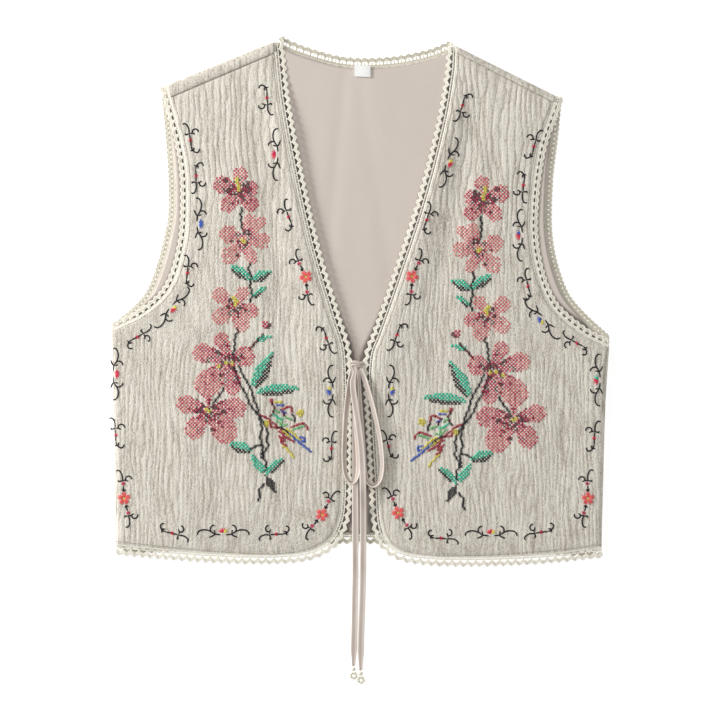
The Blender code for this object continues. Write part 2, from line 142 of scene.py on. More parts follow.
def unit(vectors: Array) -> Array:
    """The vectors, each made one long."""
    return vectors / (np.linalg.norm(vectors, axis=-1, keepdims=True) + 1e-12)


def heading(angle: float) -> Array:
    """The way that an angle in degrees points in plan."""
    return np.array([math.cos(math.radians(angle)), math.sin(math.radians(angle))])


class Line:
    """A line of points that is read by the share of its length."""

    def __init__(self, points: Any) -> None:
        """Keeps the points and the length along them.

        Args:
            points: the line's points, one in each row.
        """
        self.points = np.asarray(points, float)
        steps = np.linalg.norm(np.diff(self.points, axis=0), axis=1)
        self.along = np.concatenate([[0.0], np.cumsum(steps)])

    @property
    def length(self) -> float:
        """The line's whole length."""
        return float(self.along[-1])

    def at(self, share: Any) -> Array:
        """The points at the given shares of the length."""
        reach = np.clip(share, 0, 1) * self.length
        return np.stack([np.interp(reach, self.along, row) for row in self.points.T], -1)


class Edge:
    """A panel's edge, made of stretches that each take a share of it."""

    def __init__(self, *stretches: tuple[Any, float]) -> None:
        """Makes a smooth line of each stretch's outline, given in millimetres."""
        self.parts = [(Line(smooth(np.asarray(points, float) * MM)), share) for points, share in stretches]

    def at(self, t: Any) -> Array:
        """The edge's plan points for t from 0 to 1.

        Args:
            t: shares of the edge.

        Returns:
            The points, in metres.
        """
        t = np.asarray(t, float)
        out = np.zeros((*t.shape, 2))
        start = 0.0
        for line, share in self.parts:
            here = t >= start - 1e-9
            out[here] = line.at((t[here] - start) / share)
            start += share
        return out


@dataclass
class Patch:
    """The smooth surface between four edges: near and far run up from the ends of bottom."""

    bottom: Callable[[Array], Array]
    top: Callable[[Array], Array]
    near: Callable[[Array], Array]
    far: Callable[[Array], Array]

    def at(self, u: Any, v: Any) -> Array:
        """Reads the surface in plan.

        Args:
            u: shares from near to far.
            v: shares from bottom to top.

        Returns:
            The plan points.
        """
        u, v = np.broadcast_arrays(np.asarray(u, float), np.asarray(v, float))
        a, b = u[..., None], v[..., None]
        along = self.bottom(u) * (1 - b) + self.top(u) * b
        across = self.near(v) * (1 - a) + self.far(v) * a
        zero, one = np.zeros_like(u), np.ones_like(u)
        low = self.bottom(zero) * (1 - a) + self.bottom(one) * a
        high = self.top(zero) * (1 - a) + self.top(one) * a
        return along + across - low * (1 - b) - high * b


class Noise:
    """Smooth seeded noise over a plane, from about -1 to 1."""

    def __init__(self, seed: int) -> None:
        """Draws the noise's slopes from the seed."""
        self.angles = np.random.default_rng(seed).uniform(0, 2 * np.pi, (256, 256))

    def at(self, x: Array, y: Array) -> Array:
        """Reads the noise.

        Args:
            x: places across, in cells.
            y: places up, of the same shape.

        Returns:
            The noise there.
        """
        i, j = np.floor(x).astype(int), np.floor(y).astype(int)
        fx, fy = x - i, y - j
        wx, wy = (f ** 3 * (f * (f * 6 - 15) + 10) for f in (fx, fy))

        def corner(di: int, dj: int) -> Array:
            """The slope of one corner of the cell, read at the point."""
            angle = self.angles[(i + di) % 256, (j + dj) % 256]
            return np.cos(angle) * (fx - di) + np.sin(angle) * (fy - dj)

        low = corner(0, 0) * (1 - wx) + corner(1, 0) * wx
        high = corner(0, 1) * (1 - wx) + corner(1, 1) * wx
        return 1.6 * (low * (1 - wy) + high * wy)


@dataclass(frozen=True)
class Crinkle:
    """The lengthwise crinkles of double gauze: rounded ridges with narrow valleys, finer lower down."""

    seed: int
    high_pitch: float = 6.4 * MM
    low_pitch: float = 4.6 * MM
    change: tuple[float, float] = (-60 * MM, 140 * MM)

    def ridges(self, x: Array, y: Array, pitch: float, seed: int) -> Array:
        """How high the crinkles of one pitch stand, 0 at the bottom between two crinkles and 1 on a crest.

        Args:
            x: plan places across.
            y: plan places up.
            pitch: the distance between ridges.
            seed: which noise bends them.

        Returns:
            The heights.
        """
        drift, kinks, breaks = (Noise(self.seed * 31 + seed * 7 + k) for k in range(3))
        phase = x / pitch + 1.1 * drift.at(x / (5.2 * pitch), y / (70 * MM)) \
            + 0.2 * kinks.at(x / (1.7 * pitch), y / (9 * MM))
        wave = np.sin(np.pi * phase) + 0.75 * breaks.at(x / (1.1 * pitch), y / (30 * MM))
        return np.clip(np.abs(wave), 0, 1.1) ** 0.5 / 1.05

    def at(self, x: Array, y: Array) -> Array:
        """The crinkles' height at plan points, from 0 to 1."""
        share = ease((y - self.change[0]) / (self.change[1] - self.change[0]))
        return self.ridges(x, y, self.low_pitch, 1) * (1 - share) + self.ridges(x, y, self.high_pitch, 2) * share


# ------------------------ meshes

def make(name: str, points: Array, polygons: Sequence[Array], marks: dict[str, Array] | None = None,
         colours: Array | None = None) -> bpy.types.Object:
    """Makes a smooth mesh object from arrays.

    Args:
        name: the object's name.
        points: the mesh's points, (n, 3).
        polygons: arrays of faces, one array for each number of corners.
        marks: numbers kept on the points, by attribute name.
        colours: a linear colour for each point, kept as "thread".

    Returns:
        The object, linked to the scene.
    """
    mesh = bpy.data.meshes.new(name)
    mesh.vertices.add(len(points))
    mesh.vertices.foreach_set("co", np.ascontiguousarray(points, np.float32).ravel())
    corners = np.concatenate([p.ravel() for p in polygons]).astype(np.int32)
    totals = np.concatenate([np.full(len(p), p.shape[1]) for p in polygons]).astype(np.int32)
    starts = np.concatenate([[0], np.cumsum(totals)[:-1]]).astype(np.int32)
    mesh.loops.add(len(corners))
    mesh.loops.foreach_set("vertex_index", corners)
    mesh.polygons.add(len(totals))
    mesh.polygons.foreach_set("loop_start", starts)
    mesh.polygons.foreach_set("loop_total", totals)
    for key, values in (marks or {}).items():
        mesh.attributes.new(key, "FLOAT", "POINT").data.foreach_set("value", np.asarray(values, np.float32).ravel())
    if colours is not None:
        layer = mesh.color_attributes.new("thread", "FLOAT_COLOR", "POINT")
        full = np.concatenate([colours, np.ones((len(colours), 1))], axis=1)
        layer.data.foreach_set("color", full.astype(np.float32).ravel())
    mesh.update(calc_edges=True)
    mesh.shade_smooth()
    obj = bpy.data.objects.new(name, mesh)
    bpy.context.scene.collection.objects.link(obj)
    return obj


def pick(obj: bpy.types.Object) -> None:
    """Selects only this object and makes it the active one.

    Args:
        obj: the object.
    """
    bpy.ops.object.select_all(action="DESELECT")
    obj.select_set(True)
    bpy.context.view_layer.objects.active = obj


def settle(obj: bpy.types.Object) -> None:
    """Turns every face of a closed mesh outwards.

    Args:
        obj: the mesh object.
    """
    pick(obj)
    bpy.ops.object.mode_set(mode="EDIT")
    bpy.ops.mesh.select_all(action="SELECT")
    bpy.ops.mesh.normals_make_consistent(inside=False)
    bpy.ops.object.mode_set(mode="OBJECT")


def grid(rows: int, columns: int) -> Array:
    """Numbers the quads of a grid of points.

    Args:
        rows: how many rows of points there are.
        columns: how many points there are in a row.

    Returns:
        The quads, (n, 4).
    """
    r, c = np.meshgrid(np.arange(rows - 1), np.arange(columns - 1), indexing="ij")
    at = (r * columns + c).ravel()
    return np.stack([at, at + 1, at + columns + 1, at + columns], -1)


def tube(stations: int, sides: int, first: Any = 0) -> Array:
    """Numbers the quads round a tube.

    Args:
        stations: how many rings of points there are.
        sides: how many points there are in a ring.
        first: the first point's number, or an array of them for many tubes.

    Returns:
        The quads, (n, 4).
    """
    ring = first + np.arange(stations - 1)[:, None] * sides
    at, beside = ring + np.arange(sides), ring + (np.arange(sides) + 1) % sides
    return np.stack([at, beside, beside + sides, at + sides], -1).reshape(-1, 4)


def primitive(operator: Callable[..., Any], name: str, **settings: Any) -> bpy.types.Object:
    """Adds one of Blender's primitives with nothing else selected.

    Args:
        operator: the operator that adds it.
        name: the object's name.
        settings: the operator's settings.

    Returns:
        The object.
    """
    bpy.ops.object.select_all(action="DESELECT")
    operator(**settings)
    obj = bpy.context.object
    obj.name = obj.data.name = name
    return obj


def read(obj: bpy.types.Object) -> Array:
    """The places of a mesh's points."""
    return np.array([v.co for v in obj.data.vertices])


def reshape(obj: bpy.types.Object, points: Array) -> None:
    """Moves a mesh's points and shades it smooth.

    Args:
        obj: the mesh object.
        points: the points' new places.
    """
    obj.data.vertices.foreach_set("co", points.ravel())
    obj.data.update()
    obj.data.shade_smooth()


def wall(name: str, points: Array, faces: Array, thickness: float, marks: dict[str, Array]) -> bpy.types.Object:
    """Makes a closed cloth wall, half its thickness to each side of a surface.

    Args:
        name: the piece's name.
        points: the surface's points.
        faces: its quads.
        thickness: the wall's thickness.
        marks: numbers kept on the points.

    Returns:
        The piece.
    """
    obj = make(name, points.reshape(-1, 3), [faces], marks)
    body = obj.modifiers.new("Cloth", "SOLIDIFY")
    body.thickness = thickness
    body.offset = 0
    pick(obj)
    bpy.ops.object.modifier_apply(modifier=body.name)
    settle(obj)
    return obj


class Threads:
    """Gathers thin closed threads into one mesh."""

    def __init__(self) -> None:
        """Starts with no thread."""
        self.points: list[Array] = []
        self.faces: dict[int, list[Array]] = {}
        self.colours: list[Array] = []
        self.count = 0

    def add(self, path: Array, across: Array, up: Array, sides: int = 4, colour: Any = (1.0, 1.0, 1.0)) -> None:
        """Adds threads that have the same number of stations.

        Args:
            path: (threads, stations, 3) middle points.
            across: half the width, as vectors of the same shape.
            up: half the height, as vectors of the same shape.
            sides: how many sides a thread has round it.
            colour: one linear colour, or one for each thread.
        """
        many, stations = path.shape[:2]
        turn = 2 * np.pi * (np.arange(sides) + (0.25 if sides == 3 else 0)) / sides
        ring = path[:, :, None] + across[:, :, None] * np.cos(turn)[:, None] + up[:, :, None] * np.sin(turn)[:, None]
        starts = self.count + np.arange(many)[:, None, None] * stations * sides
        self.faces.setdefault(4, []).append(tube(stations, sides, starts))
        ends = self.count + np.arange(many)[:, None] * stations * sides + np.arange(sides)
        self.faces.setdefault(sides, []).append(ends[:, ::-1])
        self.faces.setdefault(sides, []).append(ends + (stations - 1) * sides)
        self.points.append(ring.reshape(-1, 3))
        tint = np.broadcast_to(np.asarray(colour, float).reshape(-1, 1, 3), (many, stations * sides, 3))
        self.colours.append(tint.reshape(-1, 3))
        self.count += many * stations * sides

    def piece(self, name: str) -> bpy.types.Object:
        """Makes the gathered threads one object.

        Args:
            name: the piece's name.

        Returns:
            The piece.
        """
        polygons = [np.concatenate(group) for group in self.faces.values()]
        obj = make(name, np.concatenate(self.points), polygons, colours=np.concatenate(self.colours))
        settle(obj)
        return obj


class Ground:
    """The top of a finished cloth piece, which stitches are laid on."""

    def __init__(self, obj: bpy.types.Object) -> None:
        """Reads the piece's mesh once."""
        mesh = obj.data
        self.tree = BVHTree.FromPolygons([v.co for v in mesh.vertices], [p.vertices[:] for p in mesh.polygons])

    def height(self, plan: Array, spare: float = 4 * MM) -> Array:
        """The cloth's height under each plan point, or spare where there is none.

        Args:
            plan: plan points.
            spare: the height where there is no cloth.

        Returns:
            The heights.
        """
        flat = plan.reshape(-1, 2)
        out = np.full(len(flat), spare)
        for i, (x, y) in enumerate(flat):
            hit = self.tree.ray_cast(Vector((x, y, 0.05)), Vector((0, 0, -1)))[0]
            if hit is not None:
                out[i] = hit.z
        return out.reshape(plan.shape[:-1])


# ------------------------ finishes

def linear(red: int, green: int, blue: int) -> tuple[float, float, float]:
    """A linear colour from the 0 to 255 numbers that it is usually written with."""
    return tuple(c / 255 / 12.92 if c <= 10 else ((c / 255 + 0.055) / 1.055) ** 2.4 for c in (red, green, blue))


class Tone(Enum):
    """The embroidery's thread colours."""

    BLACK = linear(24, 24, 28)
    SLATE = linear(34, 38, 40)
    MAROON = linear(84, 14, 36)
    BRICK = linear(158, 44, 58)
    ROSE = linear(196, 40, 84)
    CORAL = linear(218, 72, 86)
    SALMON = linear(232, 112, 112)
    RED = linear(216, 50, 78)
    PETAL = linear(230, 92, 92)
    YELLOW = linear(222, 206, 78)
    TEAL = linear(50, 196, 158)
    GREEN = linear(116, 186, 120)
    BLUE = linear(62, 92, 182)


class SeamTone(Enum):
    """The sewing threads' colours."""

    GAUZE = linear(196, 188, 174)
    LINING = linear(176, 166, 158)


class Value:
    """A shader value or colour that Python's operators can work on."""

    def __init__(self, nodes: "Nodes", socket: Any) -> None:
        """Wraps a socket of a material."""
        self.nodes, self.socket = nodes, socket

    def maths(self, operation: str, *others: Any) -> "Value":
        """Adds one Math node that works on this value and others."""
        return self.nodes.add("ShaderNodeMath", {"operation": operation}, {0: self, **dict(enumerate(others, 1))})

    def __add__(self, other: Any) -> "Value":
        """This value plus another."""
        return self.maths("ADD", other)

    def __mul__(self, other: Any) -> "Value":
        """This value times another."""
        return self.maths("MULTIPLY", other)

    __radd__, __rmul__ = __add__, __mul__

    def __sub__(self, other: Any) -> "Value":
        """This value less another."""
        return self.maths("SUBTRACT", other)

    def __rsub__(self, other: float) -> "Value":
        """A number less this value."""
        return self.nodes.add("ShaderNodeMath", {"operation": "SUBTRACT"}, {0: other, 1: self})

    def clamp(self) -> "Value":
        """This value kept from 0 to 1."""
        return self.nodes.add("ShaderNodeClamp", {}, {"Value": self})


class Nodes:
    """A material and its nodes."""

    def __init__(self, name: str) -> None:
        """Makes an empty material of that name with its shader and output.

        Args:
            name: the material's name.
        """
        self.material = bpy.data.materials.new(name)
        self.material.use_nodes = True
        self.tree = self.material.node_tree
        self.shader = self.tree.nodes["Principled BSDF"]

    def add(self, kind: str, settings: dict[str, Any], inputs: dict[Any, Any], output: Any = 0) -> Value:
        """Adds a node.

        Args:
            kind: the node's type.
            settings: its settings, set first; "stops" are a ramp's (place, colour) pairs.
            inputs: values or links of its sockets.
            output: which socket is the result.

        Returns:
            The node's result.
        """
        node = self.tree.nodes.new(kind)
        for key, value in settings.items():
            if key == "stops":
                ramp = node.color_ramp.elements
                while len(ramp) < len(value):
                    ramp.new(0.5)
                for stop, (place, colour) in zip(ramp, value):
                    stop.position, stop.color = place, (*colour, 1)
            else:
                setattr(node, key, value)
        for key, value in inputs.items():
            self.set(node.inputs[key], value)
        return Value(self, node.outputs[output])

    def set(self, socket: Any, value: Any) -> None:
        """Links a value to a socket, or writes a number or colour on it.

        Args:
            socket: the socket.
            value: a value to link, a number, a vector or a colour.
        """
        if isinstance(value, Value):
            self.tree.links.new(value.socket, socket)
        elif isinstance(value, (tuple, list)) and len(value) == 3 and socket.type == "RGBA":
            socket.default_value = (*value, 1)
        else:
            socket.default_value = value

    def finish(self, inputs: dict[str, Any]) -> bpy.types.Material:
        """Sets the shader's sockets and gives the material.

        Args:
            inputs: values or links of the shader's sockets.

        Returns:
            The material.
        """
        for key, value in inputs.items():
            self.set(self.shader.inputs[key], value)
        return self.material

    def place(self, scale: tuple[float, float, float] = (1, 1, 1), turn: float = 0.0) -> Value:
        """Object coordinates, stretched and turned about Z."""
        at = self.add("ShaderNodeTexCoord", {}, {}, "Object")
        return self.add("ShaderNodeMapping", {}, {"Vector": at, "Scale": scale, "Rotation": (0, 0, turn)})

    def noise(self, place: Value, scale: float, detail: float = 2.0) -> Value:
        """Noise from 0 to 1."""
        return self.add("ShaderNodeTexNoise", {}, {"Vector": place, "Scale": scale, "Detail": detail}, 0)

    def wave(self, place: Value, scale: float, along: str = "X", wobble: float = 0.0) -> Value:
        """Even bands across one axis."""
        settings = {"wave_type": "BANDS", "bands_direction": along, "wave_profile": "SIN"}
        return self.add("ShaderNodeTexWave", settings, {"Vector": place, "Scale": scale, "Distortion": wobble}, 1)

    def mix(self, share: Any, a: Any, b: Any, blend: str = "MIX") -> Value:
        """Two colours mixed by a share from 0 to 1."""
        settings = {"data_type": "RGBA", "blend_type": blend}
        return self.add("ShaderNodeMix", settings, {"Factor": share, 6: a, 7: b}, 2)

    def mark(self, name: str, colour: bool = False) -> Value:
        """A number or colour kept on the mesh."""
        return self.add("ShaderNodeAttribute", {"attribute_name": name}, {}, "Color" if colour else "Fac")

    def bump(self, height: Value, strength: float, distance: float) -> Value:
        """A normal from a height."""
        return self.add("ShaderNodeBump", {}, {"Height": height, "Strength": strength, "Distance": distance})


@dataclass(frozen=True)
class GauzeFinish:
    """Oatmeal crinkled double gauze, pebbly plain weave; painted light on crinkle crests, painted shade in hollows."""

    name: str = "crinkled gauze"
    # The cloth's colour as painted light on the crinkles' crests and as painted shade in their hollows.
    painted_crest_light: tuple[float, float, float] = linear(231, 225, 213)
    painted_hollow_shade: tuple[float, float, float] = linear(168, 158, 144)
    seam: tuple[float, float, float] = linear(150, 141, 130)

    def build(self) -> bpy.types.Material:
        """Makes the material.

        Returns:
            The material.
        """
        n = Nodes(self.name)
        fold, seam = n.mark("fold"), n.mark("seam")
        pebbles = n.noise(n.place((1, 0.6, 1)), 900, 1.0)
        streaks = n.noise(n.place((1, 0.14, 1)), 420, 2.0)
        blotches = n.noise(n.place((1, 0.35, 1)), 60, 3.0)
        warp, weft = n.wave(n.place(), 330, "X", 1.5), n.wave(n.place(), 330, "Y", 1.5)
        # The fold mark paints light on the crests and shade in the hollows; the noises add the cloth's own mottle.
        painted_light_and_mottle = (fold * 0.75 + (pebbles - 0.5) * 1.5 + (streaks - 0.5) * 1.1 + (blotches - 0.5) * 0.6 + 0.15).clamp()
        colour = n.mix(painted_light_and_mottle, self.painted_hollow_shade, self.painted_crest_light)
        colour = n.mix((seam * 0.75).clamp(), colour, self.seam)
        weave = (warp + weft) * 0.5
        height = pebbles * 0.9 + streaks * 0.8 + weave * 0.25
        return n.finish({"Base Color": colour, "Roughness": 0.94, "Sheen Weight": 0.05,
                         "Specular IOR Level": 0.15, "Normal": n.bump(height, 0.9, 0.0009)})


@dataclass(frozen=True)
class SatinFinish:
    """Smooth woven lining with a faint sheen, darkened by a painted shadow where its shade mark lies."""

    name: str = "satin lining"
    colour: tuple[float, float, float] = linear(211, 200, 190)
    shade: tuple[float, float, float] = linear(204, 192, 182)
    # The colour of the painted shadow under the fronts' lace edges.
    painted_shadow: tuple[float, float, float] = linear(92, 80, 74)

    def build(self) -> bpy.types.Material:
        """Makes the material.

        Returns:
            The material.
        """
        n = Nodes(self.name)
        clouds = n.noise(n.place(), 9, 3.0)
        twill = n.wave(n.place((1, 1, 1), 0.9), 900, "X", 0.6)
        grain = n.noise(n.place((1, 4, 1)), 900, 1.0)
        height = twill * 0.5 + grain * 0.5
        # The shade mark mixes in the painted shadow under the fronts' lace edges; the clouds are the satin's own
        # mottle.
        colour = n.mix(n.mark("shade").clamp(), n.mix(clouds, self.shade, self.colour), self.painted_shadow)
        return n.finish({"Base Color": colour, "Roughness": 0.5 + grain * 0.12,
                         "Sheen Weight": 0.15, "Specular IOR Level": 0.35, "Normal": n.bump(height, 0.25, 0.0002)})


@dataclass(frozen=True)
class LaceFinish:
    """Cream crocheted cotton."""

    name: str
    colour: tuple[float, float, float]
    shade: tuple[float, float, float]

    def build(self) -> bpy.types.Material:
        """Makes the material.

        Returns:
            The material.
        """
        n = Nodes(self.name)
        ply = n.noise(n.place(), 1500, 2.0)
        clouds = n.noise(n.place(), 160, 2.0)
        share = (ply * 0.6 + clouds * 0.7 - 0.1).clamp()
        return n.finish({"Base Color": n.mix(share, self.shade, self.colour), "Roughness": 0.9,
                         "Sheen Weight": 0.1, "Specular IOR Level": 0.2, "Normal": n.bump(ply, 0.6, 0.0004)})


class LaceShade(Enum):
    """The front's cream lace, and the back's: the same lace in a darker copy, as painted shade."""

    FRONT = LaceFinish("cotton lace", linear(255, 252, 242), linear(226, 219, 200))
    # The back's laces are the front's lace painted darker, as painted shade.
    BACK = LaceFinish("cotton lace, painted darker copy", linear(231, 226, 211), linear(198, 190, 170))


@dataclass(frozen=True)
class ThreadFinish:
    """Stranded embroidery cotton, whose colour is kept on each stitch."""

    name: str = "embroidery thread"

    def build(self) -> bpy.types.Material:
        """Makes the material.

        Returns:
            The material.
        """
        n = Nodes(self.name)
        strands = n.noise(n.place(), 2200, 1.0)
        tone = n.mark("thread", colour=True)
        colour = n.mix((strands * 0.5).clamp(), tone, (0.95, 0.93, 0.9), "SOFT_LIGHT")
        return n.finish({"Base Color": colour, "Roughness": 0.62, "Specular IOR Level": 0.35,
                         "Normal": n.bump(strands, 0.4, 0.0003)})


@dataclass(frozen=True)
class TieFinish:
    """Satin bias strip, with a painted highlight along its rolled edges and painted shade in the knot's creases."""

    name: str = "satin tie"
    colour: tuple[float, float, float] = linear(186, 171, 160)
    # The colour of the painted highlight on the rolled edges.
    rim: tuple[float, float, float] = linear(238, 229, 220)

    def build(self) -> bpy.types.Material:
        """Makes the material.

        Returns:
            The material.
        """
        n = Nodes(self.name)
        clouds = n.noise(n.place((1, 0.3, 1)), 120, 2.0)
        grain = n.noise(n.place((3, 1, 1)), 900, 1.0)
        # The rim mark mixes in the painted highlight on the rolled edges; on the knot it drops in the creases as
        # painted shade.
        share = (n.mark("rim") * 0.8 + (clouds - 0.5) * 0.5).clamp()
        return n.finish({"Base Color": n.mix(share, self.colour, self.rim), "Roughness": 0.46 + grain * 0.1,
                         "Sheen Weight": 0.15, "Specular IOR Level": 0.45, "Normal": n.bump(grain, 0.25, 0.0002)})


@dataclass(frozen=True)
class LabelFinish:
    """White woven label."""

    name: str = "woven label"

    def build(self) -> bpy.types.Material:
        """Makes the material.

        Returns:
            The material.
        """
        n = Nodes(self.name)
        rib = n.wave(n.place(), 700, "X", 0.3)
        grain = n.noise(n.place(), 1200, 1.0)
        return n.finish({"Base Color": n.mix(grain, linear(232, 231, 228), linear(250, 250, 249)),
                         "Roughness": 0.6, "Normal": n.bump(rib * 0.6 + grain * 0.4, 0.3, 0.0002)})


@dataclass(frozen=True)
class PearlFinish:
    """Glossy pearl of the beads and charms."""

    name: str = "pearl"

    def build(self) -> bpy.types.Material:
        """Makes the material.

        Returns:
            The material.
        """
        n = Nodes(self.name)
        clouds = n.noise(n.place(), 500, 2.0)
        return n.finish({"Base Color": n.mix(clouds, linear(204, 200, 180), linear(236, 233, 214)),
                         "Roughness": 0.2 + clouds * 0.12, "Coat Weight": 0.4, "Normal": n.bump(clouds, 0.1, 0.0002)})


@dataclass(frozen=True)
class FloorFinish:
    """Plain pale floor."""

    name: str = "pale floor"

    def build(self) -> bpy.types.Material:
        """Makes the material.

        Returns:
            The material.
        """
        n = Nodes(self.name)
        grain = n.noise(n.place(), 3, 2.0)
        return n.finish({"Base Color": n.mix(grain, (0.93, 0.93, 0.93), (0.95, 0.95, 0.95)), "Roughness": 0.95,
                         "Specular IOR Level": 0.0, "Emission Color": (1.0, 1.0, 1.0), "Emission Strength": 0.42})


def dress(obj: bpy.types.Object, finish: bpy.types.Material, slot: str = "", *nodes: str) -> bpy.types.Object:
    """Gives a piece its finish and ties it to the frame.

    Args:
        obj: the piece.
        finish: its material.
        slot: not used.
        nodes: the frame's nodes that it stands for.

    Returns:
        The piece.
    """
    obj.data.materials.clear()
    obj.data.materials.append(finish)
    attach(obj, "root")
    if nodes:
        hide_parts(*nodes)
    log.info("%s: %d faces", obj.name, len(obj.data.polygons))
    return obj


# ------------------------ panels

# How far in from a sewn edge, in millimetres, the close rows of points lie.
EDGE_PLACES = (0.0, 0.6, 1.3, 2.0, 2.6, 3.2, 4.0)

# The lining's soft troughs in millimetres: place across, lean, depth and half width.
TROUGHS = ((-38, 0.10, 0.35, 7), (34, -0.16, 0.3, 9), (120, 0.05, 0.3, 8), (-130, -0.08, 0.3, 8))


def places(count: int, length: float) -> Array:
    """Shares from 0 to 1, close together near the ends so that a sewn edge has its shape.

    Args:
        count: how many even steps there are between the close ones.
        length: the length that the shares are of, in metres.

    Returns:
        The shares, rising.
    """
    near = np.array(EDGE_PLACES) * MM / length
    far = 1 - near[::-1]
    return np.concatenate([near[:-1], np.linspace(near[-1], far[0], count + 1), far[1:]])


def seam_mark(distance: Array, at: float = 2.6 * MM, width: float = 0.5 * MM) -> Array:
    """1 along a sewn line that lies a distance in from an edge, 0 away from it."""
    return np.exp(-((distance - at) / width) ** 2)


@dataclass
class FrontPanel:
    """One front: crinkled gauze in a low dome, rounded down at the side and standing off at the neck."""

    side: str
    cut: dict[str, Any]
    seed: int
    columns: int = 214
    rows: int = 152
    dome: float = 1.9 * MM
    wave_height: float = 0.45 * MM
    wave_count: float = 3.5
    lift: float = 4.0 * MM
    depth: float = 0.75 * MM
    size: tuple[float, float] = (200 * MM, 480 * MM)
    margin: float = 6 * MM
    seam_depth: float = 0.4 * MM
    side_rise: float = 0.9 * MM
    side_reach: float = 4.5 * MM
    patch: Patch = field(init=False)

    def __post_init__(self) -> None:
        """Makes the panel's surface from its outline."""
        inner = Edge((self.cut["corner"], 7 / 28), (self.cut["opening"], 5 / 28), (self.cut["neck"], 16 / 28))
        outer = Edge((self.cut["side"], UNDERARM), (self.cut["armhole"], 1 - UNDERARM))
        self.patch = Patch(Edge((self.cut["hem"], 1)).at, Edge((self.cut["seam"], 1)).at, outer.at, inner.at)

    def height(self, u: Array, v: Array) -> Array:
        """The height of the middle of the cloth, its crinkles left out.

        Args:
            u: shares from the side to the opening.
            v: shares from the hem up.

        Returns:
            The heights.
        """
        u, v = np.broadcast_arrays(np.asarray(u, float), np.asarray(v, float))
        arch = np.sin(np.pi * np.clip(u, 0, 1)) * np.sin(np.pi * np.clip(v, 0, 1))
        waves = self.wave_height * np.sin(2 * np.pi * self.wave_count * u + 2.2 * v) * arch
        stand = self.lift * ease((u - 0.72) / 0.28) * ease((v - 0.36) / 0.1) * (1 - ease((v - 0.84) / 0.16))
        return FRONT_MID + self.dome * np.abs(arch) ** 0.75 + waves + stand

    def build(self) -> bpy.types.Object:
        """Makes the crinkled wall with its sewn lines.

        Returns:
            The piece.
        """
        u, v = np.meshgrid(places(self.columns, self.size[0]), places(self.rows, self.size[1]))
        plan = self.patch.at(u, v)
        across = np.linalg.norm(self.patch.at(np.ones_like(u), v) - self.patch.at(np.zeros_like(u), v), axis=-1)
        tall = np.linalg.norm(self.patch.at(u, np.ones_like(v)) - self.patch.at(u, np.zeros_like(v)), axis=-1)
        outer, inner, hem, top = u * across, (1 - u) * across, v * tall, (1 - v) * tall
        fold = Crinkle(self.seed).at(plan[..., 0], plan[..., 1])
        nearest = np.minimum.reduce([outer, inner, hem, top])
        free = 0.15 + 0.85 * ease((nearest - 0.5 * MM) / self.margin)
        armhole = ease((v - UNDERARM) / 0.03)
        seam = np.maximum.reduce([seam_mark(inner), seam_mark(hem), seam_mark(outer) * armhole,
                                  seam_mark(top, 0.0, 0.8 * MM)])
        z = self.height(u, v) + self.depth * (fold - 0.3) * free - self.seam_depth * seam
        z -= 0.5 * MM * (1 - ease(nearest / (1.6 * MM)))
        below = np.clip((UNDERARM - v) / 0.05, 0, 1)
        z += (BACK_MID + self.side_rise - z) * (1 - ease(outer / self.side_reach)) ** 1.5 * below
        points = np.dstack([plan, z])
        # The fold mark also carries the gauze's painted light on crests and painted shade in hollows.
        return wall(f"front_{self.side}_gauze", points, grid(*u.shape), FRONT, {"fold": fold, "seam": seam})

    def edge_path(self) -> Array:
        """The cloth edge from the side along the hem, up the opening and neck, and over to the fold.

        Returns:
            The path's points.
        """
        u, v = np.linspace(0, 1, 60), np.linspace(0, 1, 140)[1:]
        along = np.column_stack([self.patch.at(u, 0 * u), self.height(u, 0 * u)])
        up = np.column_stack([self.patch.at(0 * v + 1, v), self.height(0 * v + 1, v)])
        return np.vstack([along, up, self.shoulder_end(1)])

    def armhole_path(self) -> Array:
        """The cloth edge from the underarm up to the shoulder's fold.

        Returns:
            The path's points.
        """
        v = np.linspace(UNDERARM, 1, 90)
        up = np.column_stack([self.patch.at(0 * v, v), self.height(0 * v, v)])
        return np.vstack([up, self.shoulder_end(0)])

    def shoulder_end(self, share: int) -> Array:
        """The last stretch of an edge, from the shoulder seam to its fold.

        Args:
            share: 0 at the armhole, 1 at the neck.

        Returns:
            The path's points.
        """
        seam, fold = (np.array(self.cut[key][-share]) * MM for key in ("seam", "fold"))
        steps = np.linspace(0, 1, 6)[1:, None]
        return np.column_stack([seam + (fold - seam) * steps, np.full(5, FRONT_MID)])


def shoulder(cut: dict[str, Any], t: Any) -> tuple[Array, Array, Array]:
    """Reads a shoulder at shares in from its armhole.

    Args:
        cut: the outline of the front on that side.
        t: the shares, from 0 to 1.

    Returns:
        The fold's points, the seam's points and the way from the fold to the seam.
    """
    fold, seam = Edge((cut["fold"], 1)).at(t), Edge((cut["seam"], 1)).at(t)
    return fold, seam, unit(seam - fold)


def flat_end(cut: dict[str, Any], t: Any) -> Array:
    """Where the back stops lying flat and turns over the shoulder, a share t in from the armhole."""
    fold, _, inward = shoulder(cut, t)
    return fold + inward * (SHOULDER_TURN + SHELL / 2)


